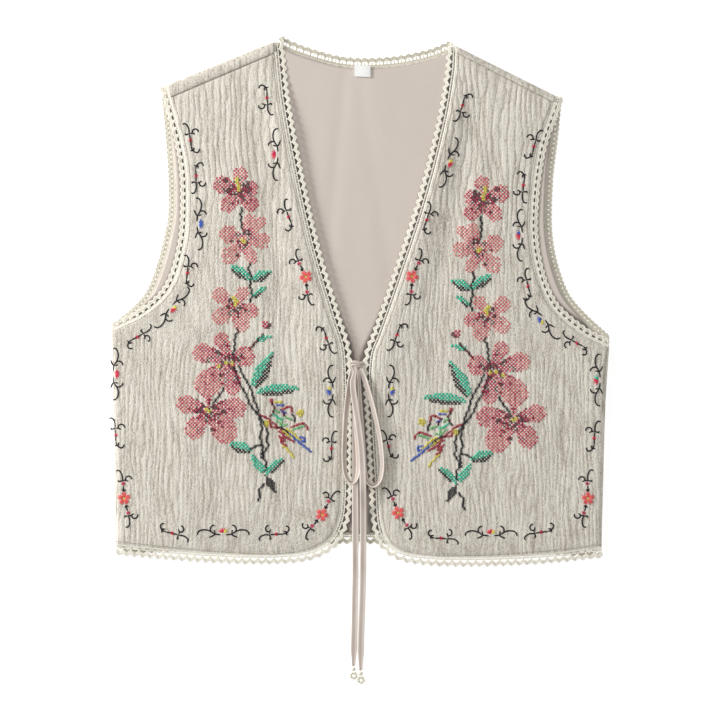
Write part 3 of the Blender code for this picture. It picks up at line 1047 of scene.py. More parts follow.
@dataclass
class Back:
    """The back, which lies flat and comes forward over each shoulder to its seam on the front."""

    shoulder_columns: int = 56
    neck_columns: int = 84
    rows: int = 100
    turn_rows: int = 7
    forward_rows: int = 8
    shoulder_share: float = 0.25
    depth: float = 0.5 * MM
    lace_rise: float = 0.3 * MM
    patch: Patch = field(init=False)

    def __post_init__(self) -> None:
        """Makes the back's surface from its outline."""
        near = Edge((RIGHT_CUT["side"], UNDERARM), (self.armhole("right"), 1 - UNDERARM))
        far = Edge((BACK_CUT["left_side"], UNDERARM), (self.armhole("left"), 1 - UNDERARM))
        self.neck = Edge(([flat_end(RIGHT_CUT, 1) / MM, *BACK_CUT["neck"][1:-1], flat_end(LEFT_CUT, 1) / MM], 1))
        self.patch = Patch(Edge((BACK_CUT["hem"], 1)).at, self.top, near.at, far.at)

    @staticmethod
    def armhole(side: str) -> list[Any]:
        """An armhole edge as outline points, ending where the shoulder lies flat."""
        cut = RIGHT_CUT if side == "right" else LEFT_CUT
        return [*BACK_CUT[side + "_armhole"][:-1], tuple(flat_end(cut, 0) / MM)]

    def top(self, t: Array) -> Array:
        """The top edge from the right shoulder's end to the left one's.

        Args:
            t: shares of the edge.

        Returns:
            The plan points.
        """
        t, share = np.asarray(t, float), self.shoulder_share
        out = self.neck.at((t - share) / (1 - 2 * share))
        right, left = t <= share, t >= 1 - share
        out[right] = flat_end(RIGHT_CUT, t[right] / share)
        out[left] = flat_end(LEFT_CUT, (1 - t[left]) / share)
        return out

    def build(self) -> bpy.types.Object:
        """Makes the back with its two shoulder pieces.

        Returns:
            The piece.
        """
        many = 2 * self.shoulder_columns + self.neck_columns
        share = self.shoulder_share
        shares = np.concatenate([np.linspace(0, share, self.shoulder_columns + 1),
                                 np.linspace(share, 1 - share, self.neck_columns + 1)[1:],
                                 np.linspace(1 - share, 1, self.shoulder_columns + 1)[1:]])
        u, v = np.meshgrid(shares, np.linspace(0, 1, self.rows + 1))
        plan = self.patch.at(u, v)
        fold = Crinkle(5).at(plan[..., 0], plan[..., 1])
        free = 0.2 + 0.8 * np.clip(np.minimum.reduce([u, 1 - u, v, 1 - v]) / 0.02, 0, 1)
        z = BACK_MID + self.depth * (fold - 0.45) * free
        points, folds = [np.dstack([plan, z]).reshape(-1, 3)], [fold.ravel()]
        faces = [grid(*u.shape)]
        seams = [np.zeros(u.size)]
        count = u.size
        last = self.rows * (many + 1)
        for cut, corner, way in ((RIGHT_CUT, last, 1), (LEFT_CUT, last + many, -1)):
            below = corner + way * np.arange(self.shoulder_columns + 1)
            for ring, heights, seam in self.over_shoulder(cut):
                row = count + np.arange(len(ring))
                points.append(ring)
                folds.append(heights)
                seams.append(seam)
                count += len(ring)
                quads = np.stack([below[:-1], below[1:], row[1:], row[:-1]], -1)
                faces.append(quads if way > 0 else quads[:, ::-1])
                below = row
        # The fold mark also carries the gauze's painted light on crests and painted shade in hollows.
        marks = {"fold": np.concatenate(folds), "seam": np.concatenate(seams)}
        return wall("back_gauze", np.concatenate(points), np.concatenate(faces), SHELL, marks)

    def over_shoulder(self, cut: dict[str, Any]) -> list[tuple[Array, Array, Array]]:
        """The rows of points that turn over a shoulder and come forward to its seam.

        Args:
            cut: the outline of the front on that side.

        Returns:
            For each row, its points, the crinkles' height and the seam's mark.
        """
        t = np.linspace(0, 1, self.shoulder_columns + 1)
        _, seam, inward = shoulder(cut, t)
        start, end = flat_end(cut, t), seam - inward * GAP
        crinkle = Crinkle(11, 5.2 * MM, 5.2 * MM)
        rows = []
        for turn in np.pi * np.arange(1, self.turn_rows + 1) / self.turn_rows:
            plan = start - inward * SHOULDER_TURN * math.sin(turn)
            z = np.full(len(t), BACK_MID + SHOULDER_TURN * (1 - math.cos(turn)))
            folds = crinkle.at(plan[:, 0], plan[:, 1])
            rows.append((np.column_stack([plan, z + 0.3 * MM * (folds - 0.4) * (1 - math.cos(turn)) / 2]),
                         folds, 0 * t))
        for share in np.linspace(0, 1, self.forward_rows + 1)[1:]:
            plan = start + (end - start) * share
            folds = crinkle.at(plan[:, 0], plan[:, 1] * 1.8)
            puff = 0.7 * MM * math.sin(math.pi * share) - 0.5 * MM * float(ease((share - 0.85) / 0.15))
            rows.append((np.column_stack([plan, FRONT_MID + puff + 0.6 * MM * (folds - 0.4) * (1 - share ** 6)]),
                         folds, np.full(len(t), 1.0 if share > 0.95 else 0.0)))
        return rows

    def armhole_path(self, side: str) -> Array:
        """The armhole edge from the underarm up."""
        plan = Edge((self.armhole(side), 1)).at(np.linspace(0, 1, 90))
        return np.column_stack([plan, np.full(90, BACK_MID + self.lace_rise)])

    def neck_path(self) -> Array:
        """The neck edge from the right shoulder to the left one."""
        return np.column_stack([self.neck.at(np.linspace(0, 1, 70)), np.full(70, BACK_MID + self.lace_rise)])

    def hem_path(self) -> Array:
        """The hem from the right side to the left one."""
        return np.column_stack([Edge((BACK_CUT["hem"], 1)).at(np.linspace(0, 1, 120)), np.full(120, BACK_MID)])


@dataclass
class Lining:
    """The back's satin lining, smooth, with a few soft troughs where it has been folded."""

    back: Back
    # The fronts' edges, whose lace casts the painted shadow on the lining.
    edges: list[Array]
    columns: int = 190
    rows: int = 170
    # How dark the painted shadow is at most, and over how far it fades.
    darkest: float = 0.9
    soft: float = 4.5 * MM
    hem_inset: float = 1.2 * MM
    neck_inset: float = 1.0 * MM
    side_inset: float = 7 * MM
    armhole_inset: float = 0.8 * MM

    def shade(self, plan: Array) -> Array:
        """How much painted shadow each place takes from the lace above it, from 0 to 1.

        Args:
            plan: plan points.

        Returns:
            The shade of each.
        """
        flat = plan.reshape(-1, 2)
        near = np.full(len(flat), 1.0)
        for edge in self.edges:
            line = Line(edge[:, :2])
            spots = line.at(np.linspace(0, 1, int(line.length / (3 * MM))))
            for start in range(0, len(flat), 4000):
                part = flat[start:start + 4000]
                gap = np.linalg.norm(part[:, None] - spots[None], axis=2).min(1)
                near[start:start + 4000] = np.minimum(near[start:start + 4000], gap)
        # The painted shadow reaches wider towards the bottom of the opening.
        wide = np.interp(flat[:, 1], (-60 * MM, 10 * MM), (12 * MM, 6 * MM))
        return (self.darkest * (1 - ease((near - wide) / self.soft))).reshape(plan.shape[:-1])

    def height(self, x: Array, y: Array) -> Array:
        """The height of the middle of the lining.

        Args:
            x: plan places across.
            y: plan places up.

        Returns:
            The heights.
        """
        swell = 0.25 * MM * Noise(71).at(x / (70 * MM), y / (110 * MM))
        swell = swell + 0.1 * MM * Noise(72).at(x / (22 * MM), y / (60 * MM))
        trough = np.zeros_like(x)
        for x0, lean, depth, wide in TROUGHS:
            trough += depth * MM * np.exp(-((x - (x0 + lean * y / MM) * MM) / (wide * MM)) ** 2)
        return LINING_MID + swell - trough + 0.2 * MM

    def build(self) -> bpy.types.Object:
        """Makes the lining.

        Returns:
            The piece.
        """
        patch = self.back.patch
        width = float(np.linalg.norm(patch.at(1, 0.2) - patch.at(0, 0.2)))
        tall = float(np.linalg.norm(patch.at(0.5, 1) - patch.at(0.5, 0)))
        v = self.hem_inset / tall + (1 - (self.hem_inset + self.neck_inset) / tall) * np.linspace(0, 1, self.rows + 1)
        share = np.clip((v - UNDERARM) / 0.08, 0, 1)
        inset = (self.side_inset + (self.armhole_inset - self.side_inset) * share) / width
        s, v = np.meshgrid(np.linspace(0, 1, self.columns + 1), v)
        plan = patch.at(inset[:, None] + (1 - 2 * inset[:, None]) * s, v)
        z = self.height(plan[..., 0], plan[..., 1])
        points = np.dstack([plan, z])
        # The shade mark is the painted shadow that the satin mixes in.
        return wall("lining_satin", points, grid(*s.shape), LINING, {"shade": self.shade(plan)})


# ------------------------ laces

@dataclass(frozen=True)
class Strand:
    """A lace thread that runs along the edge, from troughs to tips, in millimetres from the cloth."""

    trough: float
    tip: float
    width: float = 1.15
    height: float = 0.8


@dataclass(frozen=True)
class Bar:
    """A short lace thread that runs outwards, in millimetres."""

    along: float
    start: float
    end: float
    width: float = 0.9


@dataclass(frozen=True)
class LacePattern:
    """One repeat of a crocheted edging."""

    pitch: float
    width: float
    strands: tuple[Strand, ...]
    bars: tuple[Bar, ...]


class LaceKind(Enum):
    """The edgings, from the widest to the narrowest."""

    EDGE = LacePattern(7.9, 10.5, (
        Strand(0.35, 0.35, 2.0, 1.0), Strand(3.05, 3.25, 1.0), Strand(5.0, 7.4, 1.35), Strand(6.2, 8.7, 1.35),
        Strand(7.3, 10.1, 1.35),
    ), (
        Bar(-3.95, 1.0, 3.2, 1.1), Bar(-2.2, 1.0, 3.2, 0.8), Bar(-0.75, 1.0, 3.2, 0.45), Bar(0.75, 1.0, 3.2, 0.45),
        Bar(2.2, 1.0, 3.2, 0.8), Bar(0.0, 3.1, 5.5, 1.7),
    ))
    NECK = LacePattern(7.6, 10.0, (
        Strand(0.35, 0.35, 2.1, 1.0), Strand(2.0, 2.0, 1.0), Strand(5.0, 7.0), Strand(6.2, 8.2), Strand(7.5, 9.5, 1.2),
    ), (
        Bar(-3.8, 1.9, 6.9, 0.8), Bar(0.0, 1.9, 5.2, 1.5), Bar(1.9, 0.8, 2.2, 0.9), Bar(-1.9, 0.8, 2.2, 0.9),
    ))
    ARMHOLE = LacePattern(7.4, 8.3, (
        Strand(0.3, 0.3, 2.4, 1.0), Strand(1.7, 1.9, 1.3), Strand(4.5, 5.0, 1.2), Strand(5.4, 6.6, 1.1),
        Strand(6.3, 7.8, 1.2),
    ), (
        Bar(0.0, 1.7, 4.7, 2.6), Bar(-1.4, 1.7, 4.7, 0.8), Bar(1.4, 1.7, 4.7, 0.8),
    ))
    BACK_ARMHOLE = LacePattern(4.8, 7.0, (
        Strand(0.3, 0.3, 2.2, 0.9), Strand(1.7, 1.7, 1.5), Strand(4.0, 4.4, 1.4), Strand(5.2, 6.3, 1.5),
    ), (
        Bar(0.0, 1.5, 5.6, 1.7), Bar(-1.3, 1.5, 4.2, 0.9), Bar(1.3, 1.5, 4.2, 0.9), Bar(-2.4, 4.0, 5.8, 0.9),
    ))


@dataclass
class LaceTrim:
    """A lace sewn along a cloth edge: closed threads that follow the edge's curve."""

    name: str
    kind: LaceKind
    path: Array
    outward: int
    tips: tuple[Any, Any] = (None, None)
    droop: float = 0.5 * MM
    flutter: float = 0.35 * MM
    tip_reach: float = 9 * MM
    stations: int = 8

    def follow(self, along: Array, out: Array) -> tuple[Array, Array]:
        """Places on the lace.

        Args:
            along: lengths along the cloth edge, in metres.
            out: distances out from it, of the same shape.

        Returns:
            The points and the way along.
        """
        line = Line(self.path)
        even = line.at(np.linspace(0, 1, max(8, int(line.length / MM))))
        spots = np.linspace(0, line.length, len(even))
        ahead = np.gradient(even[:, :2], axis=0)
        kernel = np.hanning(9) / np.hanning(9).sum()
        padded = np.pad(ahead, ((4, 4), (0, 0)), mode="edge")
        ahead = np.stack([np.convolve(padded[:, k], kernel, "valid") for k in (0, 1)], -1)
        ahead = unit(ahead)
        reach = np.stack([-ahead[:, 1], ahead[:, 0]], -1) * self.outward
        width = self.kind.value.width * MM
        for place, tip in zip((0, -1), self.tips):
            if tip is not None:
                target = (np.array(tip) * MM - even[place, :2]) / width
                near = 1 - ease(np.abs(spots - spots[place]) / self.tip_reach)[:, None]
                reach = reach * (1 - near) + target * near
        flat = along.ravel()
        point = np.stack([np.interp(flat, spots, even[:, k]) for k in range(3)], -1)
        out_way = np.stack([np.interp(flat, spots, reach[:, k]) for k in (0, 1)], -1)
        along_way = np.stack([np.interp(flat, spots, ahead[:, k]) for k in (0, 1)], -1)
        distance = out.ravel()
        point[:, :2] += out_way * distance[:, None]
        flutter = self.flutter * Noise(3).at(flat / (14 * MM), distance / (20 * MM) + 7)
        point[:, 2] += (flutter - self.droop) * np.clip(distance / width, 0, 1) ** 1.5
        shape = (*along.shape, 3)
        return point.reshape(shape), np.pad(along_way, ((0, 0), (0, 1))).reshape(shape)

    def build(self) -> bpy.types.Object:
        """Makes the lace's threads along its whole edge.

        Returns:
            The piece.
        """
        pattern = self.kind.value
        length = Line(self.path).length
        repeats = max(2, round(length / (pattern.pitch * MM)))
        pitch = length / repeats
        threads = Threads()
        along = np.linspace(0, length, repeats * self.stations + 1)
        phase = np.abs((along / pitch + 0.5) % 1 - 0.5) * 2
        for strand in pattern.strands:
            scallop = 0.72 * phase + 0.28 * np.sin(np.pi / 2 * phase) ** 2
            out = (strand.trough + (strand.tip - strand.trough) * scallop) * MM
            if strand.trough == strand.tip:
                out = out + 0.08 * MM * np.cos(6 * np.pi * along / pitch)
            path = self.follow(along, out)[0]
            across = unit(np.cross(UP, np.gradient(path, axis=0)))
            threads.add(path[None], across[None] * strand.width * MM / 2,
                        np.broadcast_to(UP * strand.height * MM / 2, path[None].shape))
        for bar in pattern.bars:
            at = np.arange(repeats + 1) * pitch + bar.along * MM
            at = at[(at > 0.2 * MM) & (at < length - 0.2 * MM)]
            out = np.array([bar.start, bar.end]) * MM
            path, ahead = self.follow(np.repeat(at[:, None], 2, 1), np.broadcast_to(out, (len(at), 2)))
            threads.add(path, ahead * bar.width * MM / 2, np.broadcast_to(UP * 0.35 * MM, path.shape))
        return threads.piece(self.name + "_crochet")


# ------------------------ stitches

@dataclass
class Topstitch:
    """Small even stitches a little way in from a cloth edge."""

    path: Array
    inward: int
    ground: Ground
    inset: float = 2.7 * MM
    length: float = 2.0 * MM
    pitch: float = 2.9 * MM
    crosswise: bool = False

    def build(self, threads: Threads, tone: SeamTone) -> None:
        """Adds the stitches to the threads of a piece.

        Args:
            threads: the piece's threads.
            tone: the sewing thread's colour.
        """
        line = Line(self.path[:, :2])
        many = int(line.length / self.pitch)
        middle = (np.arange(many) + 0.5) * self.pitch
        ends = np.stack([middle - self.length / 2, middle + self.length / 2], -1) / line.length
        plan = line.at(ends)
        ahead = unit(plan[:, 1] - plan[:, 0])
        side = np.stack([-ahead[:, 1], ahead[:, 0]], -1) * self.inward
        plan = plan + side[:, None] * self.inset
        if self.crosswise:
            half = side * self.length / 2
            plan, side = plan.mean(1)[:, None] + np.stack([-half, half], 1), ahead
        z = self.ground.height(plan) + 0.02 * MM
        path = np.dstack([plan, z])
        wide = np.hstack([side, np.zeros((many, 1))])[:, None] * 0.2 * MM
        threads.add(path, np.broadcast_to(wide, path.shape), np.broadcast_to(UP * 0.16 * MM, path.shape), 4, tone.value)


@dataclass(frozen=True)
class Petal:
    """A petal by its middle and half its size, in millimetres."""

    x: float
    y: float
    wide: float
    tall: float
    tone: Tone = Tone.SALMON


@dataclass(frozen=True)
class Flower:
    """A cross-stitched flower: its middle, its petals and the yellow stitches of its eye."""

    middle: tuple[float, float]
    petals: tuple[Petal, ...]
    eye: tuple[tuple[float, float], ...]


@dataclass(frozen=True)
class Leaf:
    """A pointed leaf from base to tip, its upper side in one thread and its lower side in another."""

    base: tuple[float, float]
    tip: tuple[float, float]
    width: float
    upper: Tone = Tone.TEAL
    lower: Tone = Tone.SLATE


@dataclass(frozen=True)
class Tracery:
    """A line of cross stitches."""

    tone: Tone
    points: tuple[tuple[float, float], ...]


# Where the border sprigs lie, in millimetres: x, y, the angle of the first leg in degrees and whether
# its short curls are on its right. A bloom adds the tones of its floret.
TWIGS = {
    "right": (
        (-93.5, 202.7, 90, False), (-71.9, 83.7, -66, True), (-34.2, -37.3, 105, False),
        (-29.1, -147.7, -88, True), (-84.2, -233.3, 0, False), (-188.3, -232.3, 170, True),
        (-244.5, -134.3, -90, False), (-222.9, -36.3, 205, False), (-172.9, 27.7, -100, False),
        (-164.2, 124.7, 95, True), (-169.9, 160.3, -85, False),
    ),
    "left": (
        (101.9, 195.0, 78, True), (66.2, 80.7, -112, False), (36.5, -34.3, 75, True),
        (28.1, -145.6, -80, False), (80.5, -237.3, 180, True), (180.5, -231.3, 5, False),
        (233.5, -137.5, -90, True), (216.2, -42.6, -25, True), (167.3, 14.4, -72, True),
        (162.8, 115.4, 80, False), (173.4, 154.2, -100, True),
    ),
}
BLOOMS = {
    "right": (
        (-84.2, 146.0, 90, False, Tone.RED, Tone.ROSE),
        (-29.1, -90.3, 90, False, Tone.BLUE, Tone.YELLOW),
        (-137.2, -232.3, 0, False, Tone.RED, Tone.YELLOW),
        (-245.5, -73.3, 90, True, Tone.RED, Tone.ROSE),
        (-188.3, -7.1, 50, True, Tone.RED, Tone.YELLOW),
        (-161.7, 76.7, 92, True, Tone.BLUE, Tone.BLUE),
    ),
    "left": (
        (87.7, 137.8, 72, True, Tone.RED, Tone.YELLOW),
        (29.5, -90.3, 88, True, Tone.BLUE, Tone.YELLOW),
        (130.5, -233.3, 0, False, Tone.RED, Tone.YELLOW),
        (237.7, -79.3, 90, False, Tone.RED, Tone.TEAL),
        (181.5, -18.3, -50, True, Tone.BLUE, Tone.YELLOW),
        (160.1, 65.4, 90, False, Tone.RED, Tone.BLUE),
    ),
}

# The sprigs round a coral flower: x, y, the angles of their two legs and whether they are turned.
ROSETTES = {
    "right": (
        (-54.5, 23.7, 117, -86, False),
        (-38.3, -214.0, 64, 228, False),
        (-236.2, -197.7, 93, -74, True),
    ),
    "left": (
        (51.5, 24.0, 64, -92, True),
        (37.7, -212.0, 111, -55, True),
        (227.5, -197.7, 93, 253, False),
    ),
}
FLOWERS = (
    Flower((-122.5, 110.1), (
        Petal(-120.0, 125.2, 7.5, 7.5, Tone.CORAL), Petal(-136.5, 114.9, 10.0, 8.8, Tone.ROSE),
        Petal(-112.0, 112.2, 9.5, 7.5, Tone.MAROON), Petal(-130.0, 98.6, 7.5, 11.5, Tone.CORAL),
        Petal(-111.5, 98.7, 10.0, 8.0, Tone.ROSE),
    ), ((-123.5, 122.2), (-122.7, 118.7), (-121.9, 115.2), (-121.2, 111.7))),
    Flower((-116.5, 60.0), (
        Petal(-111.2, 78.2, 5.2, 8.5), Petal(-101.0, 77.2, 5.5, 7.5), Petal(-131.0, 65.7, 8.5, 9.0),
        Petal(-100.8, 59.7, 10.8, 8.0), Petal(-128.8, 46.5, 10.2, 9.2), Petal(-110.0, 45.2, 6.5, 8.5),
    ), ((-117.5, 60.7), (-115.5, 59.7))),
    Flower((-127.3, -5.3), (
        Petal(-138.8, 4.2, 9.2, 8.5), Petal(-118.2, 6.1, 7.2, 7.0), Petal(-112.5, -9.6, 10.0, 7.3, Tone.ROSE),
        Petal(-138.7, -14.8, 9.8, 9.5), Petal(-119.4, -21.8, 9.5, 8.5),
    ), ((-126.5, 3.2), (-125.0, -0.3), (-124.5, -3.8), (-123.5, 0.7))),
    Flower((-129.3, -59.7), (
        Petal(-139.0, -40.3, 7.5, 8.0, Tone.CORAL), Petal(-156.2, -52.8, 10.8, 9.5, Tone.CORAL),
        Petal(-116.0, -56.3, 8.5, 11.0, Tone.ROSE), Petal(-150.2, -80.7, 13.3, 16.3, Tone.CORAL),
        Petal(-128.2, -81.8, 8.7, 12.5, Tone.ROSE),
    ), ((-134.1, -61.6), (-128.3, -62.1), (-140.8, -65.3))),
    Flower((-152.2, -108.5), (
        Petal(-171.2, -104.2, 12.3, 8.2, Tone.CORAL), Petal(-127.4, -107.1, 12.5, 11.1, Tone.ROSE),
        Petal(-164.3, -126.3, 9.2, 13.0, Tone.CORAL), Petal(-137.5, -128.2, 15.0, 12.8, Tone.CORAL),
        Petal(-152.2, -96.8, 4.2, 4.5, Tone.ROSE),
    ), ((-153.5, -107.8), (-151.0, -109.3))),
)
TRACERY = (
    Tracery(Tone.SLATE, ((-118.1, 93.5), (-119.5, 85.7), (-118.1, 69.9))),
    Tracery(Tone.SLATE, ((-109.2, 38.7), (-111.7, 34.1), (-111.5, 29.0), (-109.2, 25.2), (-110.5, 15.0), (-108.9, 9.9),
                         (-108.5, 3.5), (-111.1, -1.6))),
    Tracery(Tone.SLATE, ((-123.2, -27.1), (-122.5, -31.3), (-125.1, -34.8), (-126.4, -49.3), (-129.0, -57.3))),
    Tracery(Tone.MAROON, ((-96.5, -33.3), (-105.5, -42.3), (-111.1, -49.3))),
    Tracery(Tone.SLATE, ((-136.0, -86.5), (-141.5, -95.3), (-147.5, -102.7))),
    Tracery(Tone.SLATE, ((-126.4, -66.3), (-123.5, -76.0), (-119.7, -85.5), (-114.9, -92.3), (-111.1, -102.7),
                         (-105.5, -110.3), (-101.5, -116.1), (-98.5, -129.5), (-100.6, -134.3), (-98.2, -144.2),
                         (-97.7, -154.7))),
    Tracery(Tone.SLATE, ((-121.6, -64.5), (-117.8, -74.0), (-113.0, -81.7), (-109.2, -89.3), (-106.3, -99.9),
                         (-103.5, -105.6), (-101.5, -113.3), (-93.8, -128.1), (-92.8, -135.8), (-94.5, -137.9),
                         (-92.4, -144.9), (-97.7, -154.7), (-94.2, -162.5), (-95.5, -171.3))),
    Tracery(Tone.SLATE, ((-95.6, -182.8), (-99.8, -187.0), (-101.9, -191.2), (-100.1, -194.7), (-102.3, -198.2),
                         (-101.2, -200.3))),
    Tracery(Tone.BRICK, ((-100.6, -114.3), (-91.0, -119.0), (-90.0, -125.7), (-84.5, -126.7))),
    Tracery(Tone.MAROON, ((-90.0, -116.1), (-86.2, -108.5), (-89.1, -100.8))),
    Tracery(Tone.YELLOW, ((-85.5, -101.3), (-77.5, -101.3))),
    Tracery(Tone.BLUE, ((-83.5, -104.5), (-76.5, -104.5))),
    Tracery(Tone.GREEN, ((-80.5, -116.8), (-78.0, -123.3))),
    Tracery(Tone.BLUE, ((-78.5, -110.3), (-75.0, -112.3))),
    Tracery(Tone.BRICK, ((-77.9, -109.3), (-73.5, -106.3), (-69.6, -106.5), (-67.7, -112.0))),
    Tracery(Tone.MAROON, ((-79.7, -108.4), (-75.1, -115.7))),
    Tracery(Tone.SLATE, ((-67.7, -113.0), (-65.0, -121.3))),
    Tracery(Tone.TEAL, ((-87.1, -113.0), (-82.5, -117.0), (-77.9, -118.5))),
    Tracery(Tone.GREEN, ((-86.0, -108.5), (-81.5, -112.5))),
    Tracery(Tone.BRICK, ((-88.5, -121.0), (-82.0, -127.0), (-75.0, -133.5))),
    Tracery(Tone.YELLOW, ((-74.2, -127.6), (-68.0, -132.0), (-61.3, -138.7))),
    Tracery(Tone.GREEN, ((-84.0, -119.5), (-79.0, -124.5), (-73.0, -124.0))),
    Tracery(Tone.GREEN, ((-75.5, -116.3), (-67.5, -119.3))),
    Tracery(Tone.BRICK, ((-69.0, -126.7), (-63.5, -124.3), (-56.6, -122.8), (-51.8, -129.5))),
    Tracery(Tone.GREEN, ((-67.5, -128.7), (-56.5, -125.3))),
    Tracery(Tone.SLATE, ((-84.5, -126.7), (-78.7, -127.3), (-70.5, -133.3))),
    Tracery(Tone.YELLOW, ((-77.5, -130.3), (-68.5, -136.8))),
    Tracery(Tone.BLUE, ((-70.5, -133.3), (-60.5, -142.3), (-48.6, -151.3))),
    Tracery(Tone.BLUE, ((-60.5, -136.3), (-56.5, -137.3), (-55.5, -140.8), (-59.5, -140.3))),
    Tracery(Tone.BRICK, ((-81.0, -134.5), (-78.5, -142.0), (-73.0, -145.5))),
    Tracery(Tone.BRICK, ((-81.6, -130.3), (-74.5, -136.3), (-66.1, -141.3))),
    Tracery(Tone.YELLOW, ((-77.3, -144.9), (-71.5, -150.3), (-66.1, -157.3))),
    Tracery(Tone.SLATE, ((-110.5, -148.8), (-104.5, -145.3), (-98.5, -144.2))),
)
SPOTS = ((Tone.YELLOW, -93.4, -122.8, 3.3), (Tone.YELLOW, -59.9, -112.3, 3.4), (Tone.BRICK, -77.0, -138.6, 3.0),
         (Tone.BRICK, -88.9, -100.1, 2.2), (Tone.SLATE, -97.7, -154.7, 2.6), (Tone.MAROON, -134.7, 120.3, 2.2),
         (Tone.MAROON, -132.1, 109.4, 2.4))
LEAVES = (
    Leaf((-111.1, 21.7), (-130.2, 35.4), 10),
    Leaf((-108.5, 19.7), (-90.0, 29.7), 10),
    Leaf((-107.3, 2.7), (-95.1, 13.7), 6.5),
    Leaf((-103.5, -39.3), (-90.0, -35.3), 4.5, Tone.TEAL, Tone.TEAL),
    Leaf((-107.3, -87.3), (-87.7, -51.1), 13),
    Leaf((-104.5, -91.3), (-59.5, -87.3), 11),
    Leaf((-109.6, -149.8), (-132.1, -142.8), 11),
    Leaf((-96.0, -172.3), (-108.9, -154.7), 9, Tone.TEAL, Tone.TEAL),
    Leaf((-94.2, -172.3), (-75.9, -156.8), 9),
    Leaf((-96.5, -27.3), (-90.7, -20.1), 9, Tone.ROSE, Tone.MAROON),
)
ROOT_LEAF = [(-95.6, -174.3), (-92.1, -176.5), (-86.5, -180.7), (-84.0, -192.6), (-88.6, -189.8), (-93.5, -185.6)]


# Half the size and half the thread, in millimetres, of a cross in the tones that are worked on every
# second cell, so that the cloth shows between them. The other tones fill every cell.
OPEN_CROSSES = {Tone.ROSE: (1.1, 0.46), Tone.CORAL: (0.9, 0.33), Tone.SALMON: (0.86, 0.29), Tone.TEAL: (1.25, 0.6),
                Tone.SLATE: (1.25, 0.6)}

# How the threads of a petal are shared out near the flower's middle, half way and at the tip.
SHADES: dict[Tone, tuple[dict[Tone | None, float], ...]] = {
    Tone.CORAL: ({Tone.MAROON: 0.5, Tone.ROSE: 0.45, Tone.CORAL: 0.05},
                 {Tone.ROSE: 0.5, Tone.CORAL: 0.43, Tone.MAROON: 0.07},
                 {Tone.CORAL: 0.55, Tone.SALMON: 0.33, Tone.ROSE: 0.12}),
    Tone.SALMON: ({Tone.MAROON: 0.5, Tone.ROSE: 0.3, Tone.CORAL: 0.2},
                  {Tone.CORAL: 0.5, Tone.SALMON: 0.3, Tone.ROSE: 0.2},
                  {Tone.SALMON: 0.6, Tone.CORAL: 0.34, None: 0.06}),
    Tone.ROSE: ({Tone.MAROON: 0.7, Tone.ROSE: 0.3},
                {Tone.ROSE: 0.5, Tone.MAROON: 0.15, Tone.CORAL: 0.35},
                {Tone.ROSE: 0.4, Tone.CORAL: 0.45, Tone.SALMON: 0.15}),
    Tone.MAROON: ({Tone.MAROON: 0.8, Tone.ROSE: 0.2}, {Tone.MAROON: 0.6, Tone.ROSE: 0.4},
                  {Tone.ROSE: 0.6, Tone.CORAL: 0.4}),
}


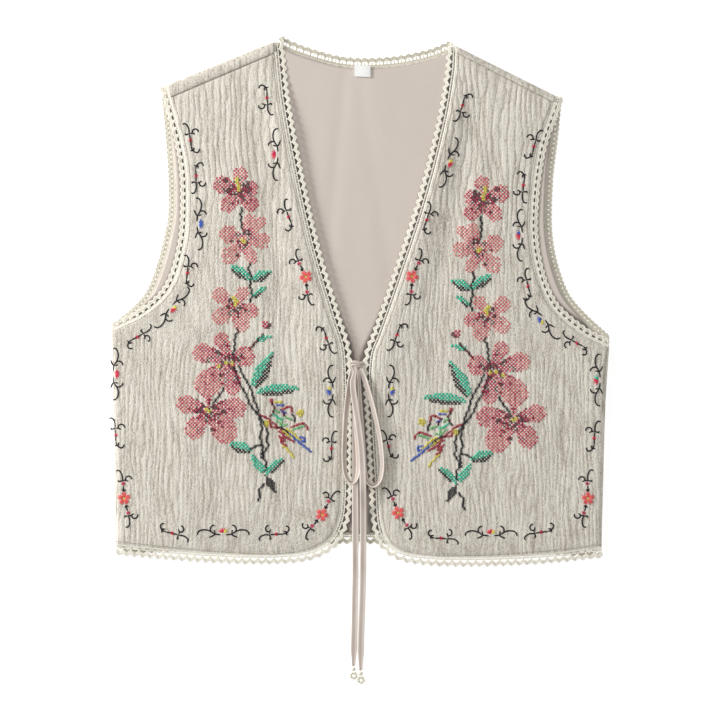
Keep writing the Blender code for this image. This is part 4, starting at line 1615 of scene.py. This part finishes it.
@dataclass
class Spray:
    """A front's cross-stitched spray of flowers, charted on a square of thread crosses."""

    side: str
    ground: Ground
    pitch: float = 1.8
    seed: int = 9
    close_cross: tuple[float, float] = (1.0, 0.38)
    loose_cross: tuple[float, float] = (1.1, 0.4)
    loose_step: float = 1.6
    turned_over: tuple[float, float] = (1.5, -9.0)
    eye_radius: float = 2.1
    eye_drop: float = 0.8
    tone_spread: tuple[float, float] = (0.84, 1.14)
    jitter: float = 0.1
    chart: dict[tuple[int, int], Tone] = field(default_factory=dict)
    loose: list[tuple[float, float, Tone]] = field(default_factory=list)

    def cells(self, x0: float, x1: float, y0: float, y1: float) -> tuple[Array, Array, Array, Array]:
        """The cells of the chart inside a box, in millimetres.

        Args:
            x0: the box's left.
            x1: its right.
            y0: its lower edge.
            y1: its upper edge.

        Returns:
            The cells' indices across and up, and their middles.
        """
        i = np.arange(math.floor(x0 / self.pitch), math.ceil(x1 / self.pitch) + 1)
        j = np.arange(math.floor(y0 / self.pitch), math.ceil(y1 / self.pitch) + 1)
        i, j = (k.ravel() for k in np.meshgrid(i, j))
        return i, j, i * self.pitch, j * self.pitch

    def fill(self, i: Array, j: Array, inside: Array, tones: Any) -> None:
        """Puts a tone, or a tone for each cell, in the cells that are inside.

        Args:
            i: the cells' indices across.
            j: their indices up.
            inside: which of them to fill.
            tones: one tone, or one for each cell.
        """
        for k in np.flatnonzero(inside):
            tone = tones if isinstance(tones, Tone) else tones[k]
            if tone is None:
                self.chart.pop((int(i[k]), int(j[k])), None)
            else:
                self.chart[int(i[k]), int(j[k])] = tone

    def flower(self, flower: Flower, rng: np.random.Generator) -> None:
        """Charts a flower.

        Args:
            flower: the flower.
            rng: the source of its random shading.
        """
        cx, cy = flower.middle
        for petal in flower.petals:
            reach = max(petal.wide, petal.tall) + 12
            i, j, x, y = self.cells(petal.x - reach, petal.x + reach, petal.y - reach, petal.y + reach)
            dx, dy = petal.x - cx, petal.y - cy
            length = math.hypot(dx, dy)
            slant = abs(dx * dy) / length ** 2
            long = (petal.wide * abs(dx) + petal.tall * abs(dy)) / length * (1.0 - 0.36 * slant)
            half = (petal.tall * abs(dx) + petal.wide * abs(dy)) / length * (1.0 - 0.7 * slant)
            on = ((x - petal.x) * dx + (y - petal.y) * dy) / length
            beside = np.abs((x - petal.x) * dy - (y - petal.y) * dx) / length / half
            outer = (on >= 0) & ((on / long) ** 2.2 + beside ** 2 < 1.0)
            inner = (on < 0) & (on > -length) & (beside < (1 + on / (1.15 * length)) ** 0.8)
            lobe = outer | inner
            far = np.hypot(x - cx, y - cy) / (length + 0.8 * long)
            blend = far + 0.34 * Noise(self.seed).at(x / 6.0, y / 6.0)
            tones = [self.shade(petal.tone, b, rng) for b in blend]
            self.fill(i, j, lobe, tones)
        for x, y in flower.eye:
            self.spot(Tone.YELLOW, x, y - self.eye_drop, self.eye_radius)

    @staticmethod
    def shade(tone: Tone, place: float, rng: np.random.Generator) -> Tone | None:
        """Draws one stitch's tone by how far out it lies on its petal."""
        mixes = SHADES[tone][0 if place < 0.33 else 1 if place < 0.66 else 2]
        return list(mixes)[int(rng.choice(len(mixes), p=list(mixes.values())))]

    def leaf(self, leaf: Leaf) -> None:
        """Charts a leaf.

        Args:
            leaf: the leaf.
        """
        (x0, y0), (x1, y1) = leaf.base, leaf.tip
        i, j, x, y = self.cells(min(x0, x1) - 8, max(x0, x1) + 8, min(y0, y1) - 8, max(y0, y1) + 8)
        dx, dy = x1 - x0, y1 - y0
        length = math.hypot(dx, dy)
        share = ((x - x0) * dx + (y - y0) * dy) / length ** 2
        beside = ((x - x0) * dy - (y - y0) * dx) / length * (1 if dx > 0 else -1)
        half = leaf.width / 2 * np.sin(np.pi * np.clip(share, 0, 1) ** 0.8) ** 0.8
        inside = (share > 0) & (share < 1) & (np.abs(beside) < np.maximum(half, 0.8))
        self.fill(i, j, inside & (beside <= 1.0), leaf.upper)
        self.fill(i, j, inside & (beside > 1.0), leaf.lower)

    def line(self, tracery: Tracery) -> None:
        """Lays a line of small crosses that do not keep to the chart.

        Args:
            tracery: the line.
        """
        line = Line(smooth(tracery.points, 6))
        many = max(2, round(line.length / self.loose_step))
        for k, (x, y) in enumerate(line.at((np.arange(many) + 0.5) / many)):
            self.loose.append((x + (-0.6, -0.1, 0.6, 0.1)[k % 4], y, tracery.tone))

    def spot(self, tone: Tone, x0: float, y0: float, radius: float) -> None:
        """Charts a round spot."""
        i, j, x, y = self.cells(x0 - radius, x0 + radius, y0 - radius, y0 + radius)
        self.fill(i, j, np.hypot(x - x0, y - y0) <= radius, tone)

    def root_leaf(self) -> None:
        """Charts the black leaf at the foot of the stem."""
        corners = np.array(ROOT_LEAF)
        (x0, y0), (x1, y1) = corners.min(0), corners.max(0)
        i, j, x, y = self.cells(x0, x1, y0, y1)
        inside = np.zeros(len(x), bool)
        for (ax, ay), (bx, by) in zip(corners, np.roll(corners, -1, 0)):
            inside ^= ((ay > y) != (by > y)) & (x < (bx - ax) * (y - ay) / (by - ay + 1e-9) + ax)
        self.fill(i, j, inside, Tone.BLACK)

    def build(self) -> bpy.types.Object:
        """Makes every stitch of the spray: two short threads crossed.

        Returns:
            The piece.
        """
        rng = np.random.default_rng(self.seed)
        for tracery in TRACERY:
            self.line(tracery)
        for leaf in LEAVES:
            self.leaf(leaf)
        for flower in FLOWERS:
            self.flower(flower, rng)
        for tone, x, y, radius in SPOTS:
            self.spot(tone, x, y, radius)
        self.root_leaf()
        keys = [key for key in sorted(self.chart) if sum(key) % 2 == 0 or self.chart[key] not in OPEN_CROSSES]
        middle = np.vstack([np.array(keys, float) * self.pitch, [place[:2] for place in self.loose]])
        charted, loose = [self.chart[key] for key in keys], [place[2] for place in self.loose]
        sizes = np.array([OPEN_CROSSES.get(tone, self.close_cross) for tone in charted]
                         + [self.loose_cross] * len(loose))
        reach, half = sizes[:, :1] * MM, sizes[:, 1:, None] * MM
        if self.side == "left":
            middle = middle * (-1, 1) + self.turned_over
        tones = np.array([tone.value for tone in charted + loose]) * rng.uniform(*self.tone_spread, (len(middle), 1))
        middle = middle * MM + rng.uniform(-self.jitter, self.jitter, middle.shape) * MM
        threads = Threads()
        for layer, slope in enumerate((1, -1)):
            way = np.array([1.0, slope]) * reach
            plan = middle[:, None] + np.stack([-way, way], 1)
            z = self.ground.height(plan) + (0.12 + 0.2 * layer) * MM
            wide = np.array([slope, -1.0, 0]) / math.sqrt(2) * half
            path = np.dstack([plan, z])
            threads.add(path, np.broadcast_to(wide, path.shape), np.broadcast_to(UP * 0.24 * MM, path.shape), 3,
                        np.clip(tones, 0, 1))
        return threads.piece(f"spray_{self.side}")


# The black curls that the border sprigs are made of, in millimetres from the sprig's middle outwards.
HOOK = ([(0, 0), (0, 3), (0, 6.3)], [(0, 6.3), (-1, 9.7), (-3.5, 12.2), (-6, 12.7), (-7.7, 11), (-8, 9.2)],
        [(1.2, 10.5), (-2.2, 10), (-2.7, 7.2)])
FORK = ([(0, 0), (0.7, 6.2)], [(0.7, 6.2), (0.7, 11.2), (1.8, 14.5), (4, 17), (6.7, 16.5)],
        [(-0.2, 6.7), (-2.2, 7.3), (-3, 9.8), (-5.7, 10.8), (-8, 9.5), (-8.7, 7.3)],
        [(-5.2, 5.7), (-1.8, 7)], [(0.7, 7), (4.2, 5.8), (5, 7.5)])
LONG_FORK = ([(1.7, 2.5), (0.8, 8.3), (-1.7, 12.5), (-3.3, 17.5), (-2.8, 22.5), (-0.8, 25.3), (2, 25.8)],
             [(-0.8, 12.5), (-5, 12.8), (-7.5, 10.8), (-7.8, 8.7)],
             [(4.2, 14.2), (2.2, 9.5), (0.8, 8.3)], [(-3.3, 9.2), (0, 8.3)])
STALK = ([(-1.8, 9.4), (0, 7.4), (1.8, 9.4)], [(0, 8), (0.3, 13)], [(0.2, 17.0), (0.3, 18.2)])

# The stitches of a coral flower's petal: degrees from the petal's middle and length in millimetres.
PETAL_RAYS = ((-23, 5.7), (-12, 7.0), (0, 6.5), (12, 7.0), (23, 5.7))


@dataclass
class BorderSprigs:
    """The small black sprigs round a front, some with a coloured floret or a coral flower."""

    side: str
    ground: Ground
    width: float = 1.5 * MM
    disc_width: float = 1.05 * MM
    floret_width: float = 1.7 * MM
    floret: tuple[float, float] = (0.8, 5.4)
    petal_width: float = 1.3 * MM
    eye_slant: float = 17.1887
    thickness: float = 0.84 * MM
    threads: Threads = field(default_factory=Threads)

    def stroke(self, points: Any, tone: Tone, width: float = 0.0, straight: bool = False) -> None:
        """Embroiders one line through plan points in millimetres.

        Args:
            points: the points that it runs through.
            tone: its thread.
            width: its width in metres, or 0 for the usual one.
            straight: whether it runs straight.
        """
        plan = (Line(points).at(np.linspace(0, 1, 4)) if straight else smooth(points, 5)) * MM
        path = np.column_stack([plan, self.ground.height(plan) + 0.2 * MM])
        across = unit(np.cross(UP, np.gradient(path, axis=0)))
        place = np.arange(len(path))
        taper = np.minimum(1, 0.45 + np.minimum(place, place[::-1]) * 0.3)[:, None] / 2
        self.threads.add(path[None], (across * (width or self.width) * taper)[None],
                         (UP * self.thickness * taper)[None], 4, tone.value)

    def leg(self, curls: Any, x: float, y: float, angle: float, turned: bool, far: bool, rise: float = 0.0) -> None:
        """Embroiders one leg of a sprig.

        Args:
            curls: its lines.
            x: the sprig's middle.
            y: the same.
            angle: which way the leg points, in degrees.
            turned: whether its short curls are on the right of that way.
            far: whether it is the leg that mirrors the first one.
            rise: how far out the lines are moved.
        """
        way = heading(angle)
        side = np.array([way[1], -way[0]]) * (-1 if turned != far else 1)
        for curl in curls:
            at = np.array(curl, float) + (0, rise)
            self.stroke(np.array([x, y]) + at[:, :1] * side + at[:, 1:] * way, Tone.BLACK)

    def disc(self, x: float, y: float, radius: float, tone: Tone, angle: float) -> None:
        """Fills a small round with side-by-side stitches.

        Args:
            x: its middle.
            y: the same.
            radius: its radius.
            tone: its thread.
            angle: which way its stitches run, in degrees.
        """
        many = max(3, round(2 * radius / 0.95))
        way = heading(angle)
        side = np.array([-way[1], way[0]])
        for k in range(many):
            off = (k + 0.5) / many * 2 - 1
            half = radius * math.sqrt(max(0.12, 1 - off * off))
            middle = np.array([x, y]) + side * off * radius
            self.stroke([middle - way * half, middle + way * half], tone, self.disc_width, True)

    def build(self) -> bpy.types.Object:
        """Embroiders every sprig of the front.

        Returns:
            The piece.
        """
        for x, y, angle, turned in TWIGS[self.side]:
            self.leg(HOOK, x, y, angle, turned, False)
            self.leg(FORK, x, y, angle + 180, turned, True)
            self.disc(x, y, 1.8, Tone.RED, angle + 30)
        for x, y, angle, turned, first, second in BLOOMS[self.side]:
            self.leg(LONG_FORK, x, y, angle, turned, False)
            self.leg(LONG_FORK, x, y, angle + 180, turned, True)
            base = angle + (-90 if turned else 90)
            for k, spread in enumerate((-62, -37, -12, 13, 38, 63)):
                way = heading(base + (-spread if turned else spread))
                self.stroke([way * reach + (x, y) for reach in self.floret], second if k < 2 else first,
                            self.floret_width, True)
        for x, y, one, two, turned in ROSETTES[self.side]:
            for angle, far in ((one, False), (two, True)):
                self.leg(STALK, x, y, angle, turned, far)
                self.leg(FORK[1:], x, y, angle, turned, far, 11.3)
                self.disc(*(heading(angle) * 15 + (x, y)), 1.9, Tone.ROSE, angle)
            for k in range(5):
                for spread, tip in PETAL_RAYS:
                    way = heading(one + 72 * k + spread)
                    self.stroke([way * 1.2 + (x, y), way * tip + (x, y)], Tone.PETAL, self.petal_width, True)
            self.disc(x, y, 1.5, Tone.YELLOW, self.eye_slant)
        return self.threads.piece(f"sprigs_{self.side}")


# ------------------------ ties

# Each tie from its root in the lace through the knot, round its loop and down its tail: x, y and
# height of the middle in millimetres, tilt in degrees, share of the full width.
TIE_ROUTES = {
    "right": [(-14.5, -60.8, 5.0, 0, 0.8), (-13.2, -61.0, 5.2, 0, 0.7), (-11.8, -61.2, 5.6, 0, 0.6),
              (-9.0, -68.6, 8.0, 0, 0.45), (-10.6, -80, 8.2, 25, 0.9), (-13.2, -100, 8.2, 40, 1.0),
              (-15.4, -127, 8.2, 45, 1.0), (-16.4, -150, 8.2, 45, 1.0), (-16.0, -166, 8.2, 48, 1.0),
              (-13.6, -177, 8.2, 55, 1.0), (-8.6, -182.2, 8.4, 62, 1.0), (-3.9, -177, 8.4, 55, 1.0),
              (-2.4, -166, 8.2, 50, 1.0), (-2.8, -150, 8.2, 50, 1.0), (-4.8, -127, 8.2, 50, 1.0),
              (-6.0, -100, 8.2, 50, 0.95), (-6.0, -82, 8.0, 50, 0.7), (-6.0, -69.2, 6.2, 0, 0.42),
              (-5.6, -65.8, 8.2, 0, 0.42),
              (-5.2, -69.5, 10.0, 0, 0.5), (-7.6, -82, 11.6, 0, 0.95), (-5.5, -102, 11.8, 0, 1.0),
              (-2.4, -122, 11.8, 0, 1.0), (0.6, -146, 11.8, 0, 1.0), (2.0, -168, 11.6, 0, 1.0),
              (2.5, -188, 11.4, 0, 1.0), (2.7, -208, 6.6, 0, 1.0), (2.8, -230, 4.9, 0, 1.0),
              (2.6, -252, 4.0, 0, 1.0), (2.4, -272, 1.3, 0, 1.0), (2.0, -292, 0.6, 0, 1.0),
              (0.8, -325, 0.6, 0, 1.0), (0.2, -352, 0.6, 0, 1.0), (0.3, -369.6, 0.9, 0, 0.5)],
    "left": [(7.5, -60.0, 5.0, 0, 0.8), (5.5, -60.6, 5.2, 0, 0.7), (3.7, -61.2, 5.6, 0, 0.6),
             (1.2, -68.2, 8.0, 0, 0.45), (4.0, -78, 8.2, -25, 0.9), (9.2, -95, 8.2, -40, 1.0),
             (14.5, -115, 8.2, -45, 1.0), (18.8, -135, 8.2, -45, 1.0), (21.2, -154, 8.2, -45, 1.0),
             (21.4, -170, 8.2, -50, 1.0), (18.9, -180.5, 8.3, -58, 1.0), (13.0, -185.2, 8.4, -62, 1.0),
             (7.0, -181.0, 8.4, -55, 1.0), (4.3, -170, 8.2, -50, 1.0), (3.0, -150, 8.2, -50, 1.0),
             (1.2, -125, 8.2, -50, 1.0), (-0.6, -100, 8.2, -50, 0.95), (-1.4, -82, 8.0, -50, 0.7),
             (-1.8, -69.0, 6.2, 0, 0.42), (-2.8, -65.8, 5.6, 0, 0.42),
             (-4.4, -69.5, 4.9, 0, 0.45), (-5.2, -85, 4.9, 0, 1.0), (-5.4, -120, 4.9, 0, 1.0),
             (-5.4, -160, 4.9, 0, 1.0), (-5.2, -200, 4.9, 0, 1.0), (-5.1, -230, 4.9, 0, 1.0),
             (-5.1, -252, 4.0, 0, 1.0), (-5.2, -272, 1.3, 0, 1.0), (-5.6, -292, 0.6, 0, 1.0),
             (-6.2, -325, 0.6, 0, 1.0), (-6.8, -350, 0.6, 0, 1.0), (-7.0, -365.2, 0.9, 0, 0.5)],
}
TAIL_ENDS = {"right": (0.3, -370.4), "left": (-7.0, -366.0)}


@dataclass
class Tie:
    """A flat satin strip with rolled edges: root, loop of the bow and tail in one length."""

    side: str
    width: float = 6.4 * MM
    rim: float = 0.62 * MM
    middle: float = 0.3 * MM
    steps: int = 8

    @property
    def route(self) -> Array:
        """The route's numbers, one row for each point."""
        return np.array(TIE_ROUTES[self.side], float)

    def path(self) -> Array:
        """The line that the strip follows, in metres."""
        return smooth(self.route[:, :3], self.steps) * MM

    def build(self) -> bpy.types.Object:
        """Makes the strip.

        Returns:
            The piece.
        """
        path = self.path()
        share = np.arange(len(path)) / self.steps
        whole = np.arange(len(self.route))
        tilt = np.radians(np.interp(share, whole, self.route[:, 3]))[:, None]
        size = np.interp(share, whole, self.route[:, 4])[:, None]
        ahead = unit(np.gradient(path, axis=0))
        level = unit(np.cross(UP, ahead))
        over = np.cross(ahead, level)
        across = level * np.cos(tilt) - over * np.sin(tilt)
        normal = np.cross(ahead, across)
        half = self.width / 2 - self.rim
        # Each section point's third number is its rim mark, the painted highlight: 1 round the rolled edges, less
        # towards the middle.
        section = [(half + self.rim * math.cos(a), self.rim * math.sin(a), 1.0)
                   for a in np.radians((-100, -50, 0, 50, 100))]
        section += [(half * 0.6, self.middle, 0.35), (0, self.middle * 0.8, 0.0), (-half * 0.6, self.middle, 0.35)]
        section += [(-x, -y, m) for x, y, m in section]
        ring = np.array(section)
        curl = 0.35 * MM * Noise(41).at(share * 0.8, share * 0)[:, None]
        points = (path[:, None] + across[:, None] * ring[:, 0][:, None] * size[:, None]
                  + normal[:, None] * (ring[:, 1][:, None] + (curl * np.cos(ring[:, 0] / half))[..., None]))
        many, sides = len(path), len(ring)
        ends = np.stack([np.arange(sides)[::-1], np.arange(sides) + (many - 1) * sides])
        obj = make(f"tie_{self.side}", points.reshape(-1, 3), [tube(many, sides), ends],
                   {"rim": np.tile(ring[:, 2], many)})
        settle(obj)
        return obj


@dataclass
class Knot:
    """The bow's knot: a soft wrap of the strip, pinched by creases."""

    middle: tuple[float, float, float] = (-4.0, -63.2, 7.5)
    size: tuple[float, float, float] = (13.0, 7.4, 5.6)
    turn: float = 14.0
    creases: tuple[tuple[float, float, float], ...] = ((0.45, 0.15, 0.2), (0.0, -0.35, 0.24), (-0.5, 0.1, 0.22))

    def build(self) -> bpy.types.Object:
        """Makes the knot.

        Returns:
            The piece.
        """
        obj = primitive(bpy.ops.mesh.primitive_uv_sphere_add, "knot_wrap", segments=56, ring_count=36, radius=1.0,
                        location=(0, 0, 0))
        co = read(obj)
        way = heading(self.turn)
        along = co[:, 0] * way[0] + co[:, 1] * way[1]
        beside = -co[:, 0] * way[1] + co[:, 1] * way[0]
        crease = sum(depth * np.exp(-((beside - at - lean * along) / 0.1) ** 2) for at, lean, depth in self.creases)
        box = np.sign(co) * np.abs(co) ** 0.75
        pinch = 1 - 0.28 * np.exp(-((along - 0.55) / 0.25) ** 2) - 0.12 * np.exp(-((along + 0.5) / 0.2) ** 2)
        out = box * (1 - crease)[:, None]
        out[:, 1] *= pinch
        # The rim mark is 0.45 over the wrap and falls to 0 in its creases as painted shade.
        obj.data.attributes.new("rim", "FLOAT", "POINT").data.foreach_set("value", np.clip(0.45 - crease * 3, 0, 1))
        reshape(obj, (np.array(self.middle) + out * np.array(self.size) / 2) * MM)
        return obj


@dataclass
class TailEnd:
    """The pearl bead and the flower charm at the end of a tail."""

    side: str
    bead: float = 2.2 * MM
    charm: float = 4.1 * MM
    ring: float = 1.4 * MM

    def make_bead(self) -> bpy.types.Object:
        """Makes the bead, drawn in a little at its two holes.

        Returns:
            The piece.
        """
        x, y = (c * MM for c in TAIL_ENDS[self.side])
        obj = primitive(bpy.ops.mesh.primitive_uv_sphere_add, f"pearl_{self.side}", segments=28, ring_count=20,
                        radius=self.bead, location=(0, 0, 0))
        co = read(obj)
        co[:, 2] *= 1 - 0.12 * (np.abs(co[:, 2]) / self.bead) ** 6
        reshape(obj, np.column_stack([co[:, 0], -co[:, 2], co[:, 1]]) + (x, y - self.bead, self.bead))
        return obj

    def make_charm(self) -> bpy.types.Object:
        """Makes the charm: a ring of five soft lobes round a hole.

        Returns:
            The piece.
        """
        x, y = (c * MM for c in TAIL_ENDS[self.side])
        centre = np.array((x, y - 2 * self.bead - GAP - self.charm, self.ring))
        obj = primitive(bpy.ops.mesh.primitive_torus_add, f"flower_charm_{self.side}", location=(0, 0, 0),
                        major_radius=self.charm - self.ring, minor_radius=self.ring, major_segments=60,
                        minor_segments=16)
        co = read(obj)
        round_it = np.arctan2(co[:, 1], co[:, 0])
        lobe = np.abs(np.cos(2.5 * round_it + 0.5))
        reach = np.hypot(co[:, 0], co[:, 1])
        outer = np.clip((reach - self.charm + 2 * self.ring) / (2 * self.ring), 0, 1)
        co[:, :2] *= (1 - 0.16 * outer * (1 - lobe))[:, None]
        co[:, 2] *= 0.72 + 0.28 * lobe
        reshape(obj, co + centre)
        return obj


@dataclass
class Label:
    """A small blank woven label with a turned-in edge at each end."""

    middle: tuple[float, float] = (2.0, 229.5)
    size: tuple[float, float] = (16.0, 11.5)
    thickness: float = 1.0 * MM

    def build(self) -> bpy.types.Object:
        """Makes the label.

        Returns:
            The piece.
        """
        z = LINING_MID + LINING / 2 + GAP + self.thickness / 2 + 0.25 * MM
        obj = primitive(bpy.ops.mesh.primitive_cube_add, "label_tag", size=1,
                        location=(self.middle[0] * MM, self.middle[1] * MM, z))
        obj.scale = (self.size[0] * MM, self.size[1] * MM, self.thickness)
        pick(obj)
        bpy.ops.object.transform_apply(location=True, rotation=True, scale=True)
        bpy.ops.object.mode_set(mode="EDIT")
        bpy.ops.mesh.select_all(action="SELECT")
        bpy.ops.mesh.subdivide(number_cuts=14)
        bpy.ops.object.mode_set(mode="OBJECT")
        co = read(obj)
        x, y = ((co[:, k] / MM - self.middle[k]) / self.size[k] * 2 for k in (0, 1))
        hem = np.exp(-((np.abs(x) - 0.86) / 0.06) ** 2)
        co[:, 2] += (0.25 * np.sin(2.2 * x + 0.5) * (1 - np.abs(y) * 0.3) - 0.14 * hem) * MM
        co[:, 1] += -0.045 * (co[:, 0] - self.middle[0] * MM)
        reshape(obj, co)
        rounding = obj.modifiers.new("Soft edge", "BEVEL")
        rounding.width, rounding.segments, rounding.limit_method = 0.12 * MM, 2, "ANGLE"
        bpy.ops.object.modifier_apply(modifier=rounding.name)
        obj.data.shade_smooth()
        return obj


# ------------------------ studio

@dataclass
class Studio:
    """Pale floor, soft light from the upper left and the camera straight above."""

    centre: tuple[float, float] = (-0.5 * MM, -59.3 * MM)
    across: float = 0.72
    distance: float = 7.0

    def camera(self) -> None:
        """Puts the camera above the waistcoat."""
        data = bpy.data.cameras.new("camera")
        data.sensor_width = 36.0
        data.lens = 36.0 * self.distance / self.across
        data.clip_end = 50.0
        obj = bpy.data.objects.new("camera", data)
        obj.location = (*self.centre, self.distance)
        bpy.context.scene.collection.objects.link(obj)
        bpy.context.scene.camera = obj

    def lamp(self, name: str, place: tuple[float, float, float], size: float, power: float,
             target: tuple[float, float, float] = (0, -0.03, 0)) -> None:
        """Hangs a soft lamp that points at the waistcoat.

        Args:
            name: the lamp's name.
            place: where it hangs.
            size: its diameter.
            power: its power in watts.
            target: what it points at.
        """
        data = bpy.data.lights.new(name, "AREA")
        data.shape, data.size, data.energy = "DISK", size, power
        obj = bpy.data.objects.new(name, data)
        obj.location = place
        obj.rotation_euler = (Vector(target) - Vector(place)).to_track_quat("-Z", "Y").to_euler()
        bpy.context.scene.collection.objects.link(obj)

    def lights(self) -> None:
        """Sets the room's even light and the lamps."""
        world = bpy.data.worlds.new("room")
        bpy.context.scene.world = world
        world.use_nodes = True
        background = world.node_tree.nodes["Background"]
        background.inputs["Color"].default_value = (1, 1, 1, 1)
        background.inputs["Strength"].default_value = 0.34
        bpy.context.scene.view_settings.view_transform = "Standard"
        self.lamp("key", (-2.4, 1.0, 0.98), 0.9, 86)
        self.lamp("top", (0.3, 0.2, 3.0), 2.0, 26)

    def floor(self) -> None:
        """Lays the floor."""
        obj = primitive(bpy.ops.mesh.primitive_plane_add, "floor", size=14, location=(0, 0, -0.8 * MM))
        pick(obj)
        bpy.ops.object.transform_apply(location=True, rotation=True, scale=True)
        obj.data.materials.append(FloorFinish().build())


def main() -> None:
    """Builds the waistcoat piece by piece and stages it."""
    logging.basicConfig(level=logging.INFO, format="%(name)s: %(message)s", stream=sys.stdout)
    studio = Studio()
    studio.camera()
    tie, pearl = TieFinish().build(), PearlFinish().build()
    for side in ("right", "left"):
        strip = Tie(side)
        end = TailEnd(side)
        bead = dress(end.make_bead(), pearl, "bead", f"bead_{side}")
        charm = dress(end.make_charm(), pearl, "bead", f"charm_{side}")
        piece = dress(strip.build(), tie, "tie", *(f"tie_{side}_{part}" for part in ("root", "loop", "tail")))
        path = strip.path()
    dress(Knot().build(), tie, "tie", "knot")

    gauze, satin, thread = (finish().build() for finish in (GauzeFinish, SatinFinish, ThreadFinish))
    # The second finish is the lace painted darker as shade, for the back's laces.
    lace, painted_shade_lace = (shade.value.build() for shade in LaceShade)
    back = Back()
    panels = [FrontPanel("right", RIGHT_CUT, 1), FrontPanel("left", LEFT_CUT, 2)]
    # The fronts' edges, under which the lining gets its painted shadow.
    edges = [path for panel in panels for path in (panel.edge_path()[60:], panel.armhole_path())]
    back_piece = dress(back.build(), gauze, "gauze", "back")
    lining_piece = dress(Lining(back, edges).build(), satin, "satin", "lining_back")
    label = dress(Label().build(), LabelFinish().build(), "label", "label")
    back_trims = [LaceTrim(f"lace_armhole_back_{side}", LaceKind.BACK_ARMHOLE, back.armhole_path(side), way,
                           (BACK_CUT[f"{side}_tip"], None)) for side, way in (("right", 1), ("left", -1))]
    back_trims += [LaceTrim("lace_neck_back", LaceKind.NECK, back.neck_path(), 1,
                            (RIGHT_CUT["apex"], LEFT_CUT["apex"]), 0.0),
                   LaceTrim("lace_hem_back", LaceKind.EDGE, back.hem_path(), -1, (None, None), 0.0)]
    back_laces = [dress(trim.build(), painted_shade_lace, "lace", trim.name) for trim in back_trims]
    stitched = Threads()
    ground = Ground(lining_piece)
    Topstitch(back.neck_path()[2:-2], -1, ground, 1.9 * MM, 1.3 * MM, 1.6 * MM, True).build(stitched, SeamTone.LINING)
    neck_stitches = dress(stitched.piece("stitches_lining"), thread)
    for panel, turn in zip(panels, (-1, 1)):
        side, cut = panel.side, panel.cut
        piece = dress(panel.build(), gauze, "gauze", f"front_{side}")
        edge = dress(LaceTrim(f"lace_edge_{side}", LaceKind.EDGE, panel.edge_path(), turn, (None, cut["apex"])).build(),
                     lace, "lace", f"lace_edge_{side}")
        armhole = dress(LaceTrim(f"lace_armhole_front_{side}", LaceKind.ARMHOLE, panel.armhole_path(), -turn,
                                 (cut["underarm_tip"], None)).build(), lace, "lace", f"lace_armhole_front_{side}")
        ground = Ground(piece)
        seams = Threads()
        for path, way in ((panel.edge_path()[:-5], -turn), (panel.armhole_path()[:-5], turn)):
            Topstitch(path, way, ground).build(seams, SeamTone.GAUZE)
        trims = [edge, armhole, dress(seams.piece(f"stitches_{side}"), thread)]
        trims.append(dress(Spray(side, ground).build(), thread))
        trims.append(dress(BorderSprigs(side, ground).build(), thread))

    studio.lights()
    studio.floor()


if __name__ == "__main__":
    main()
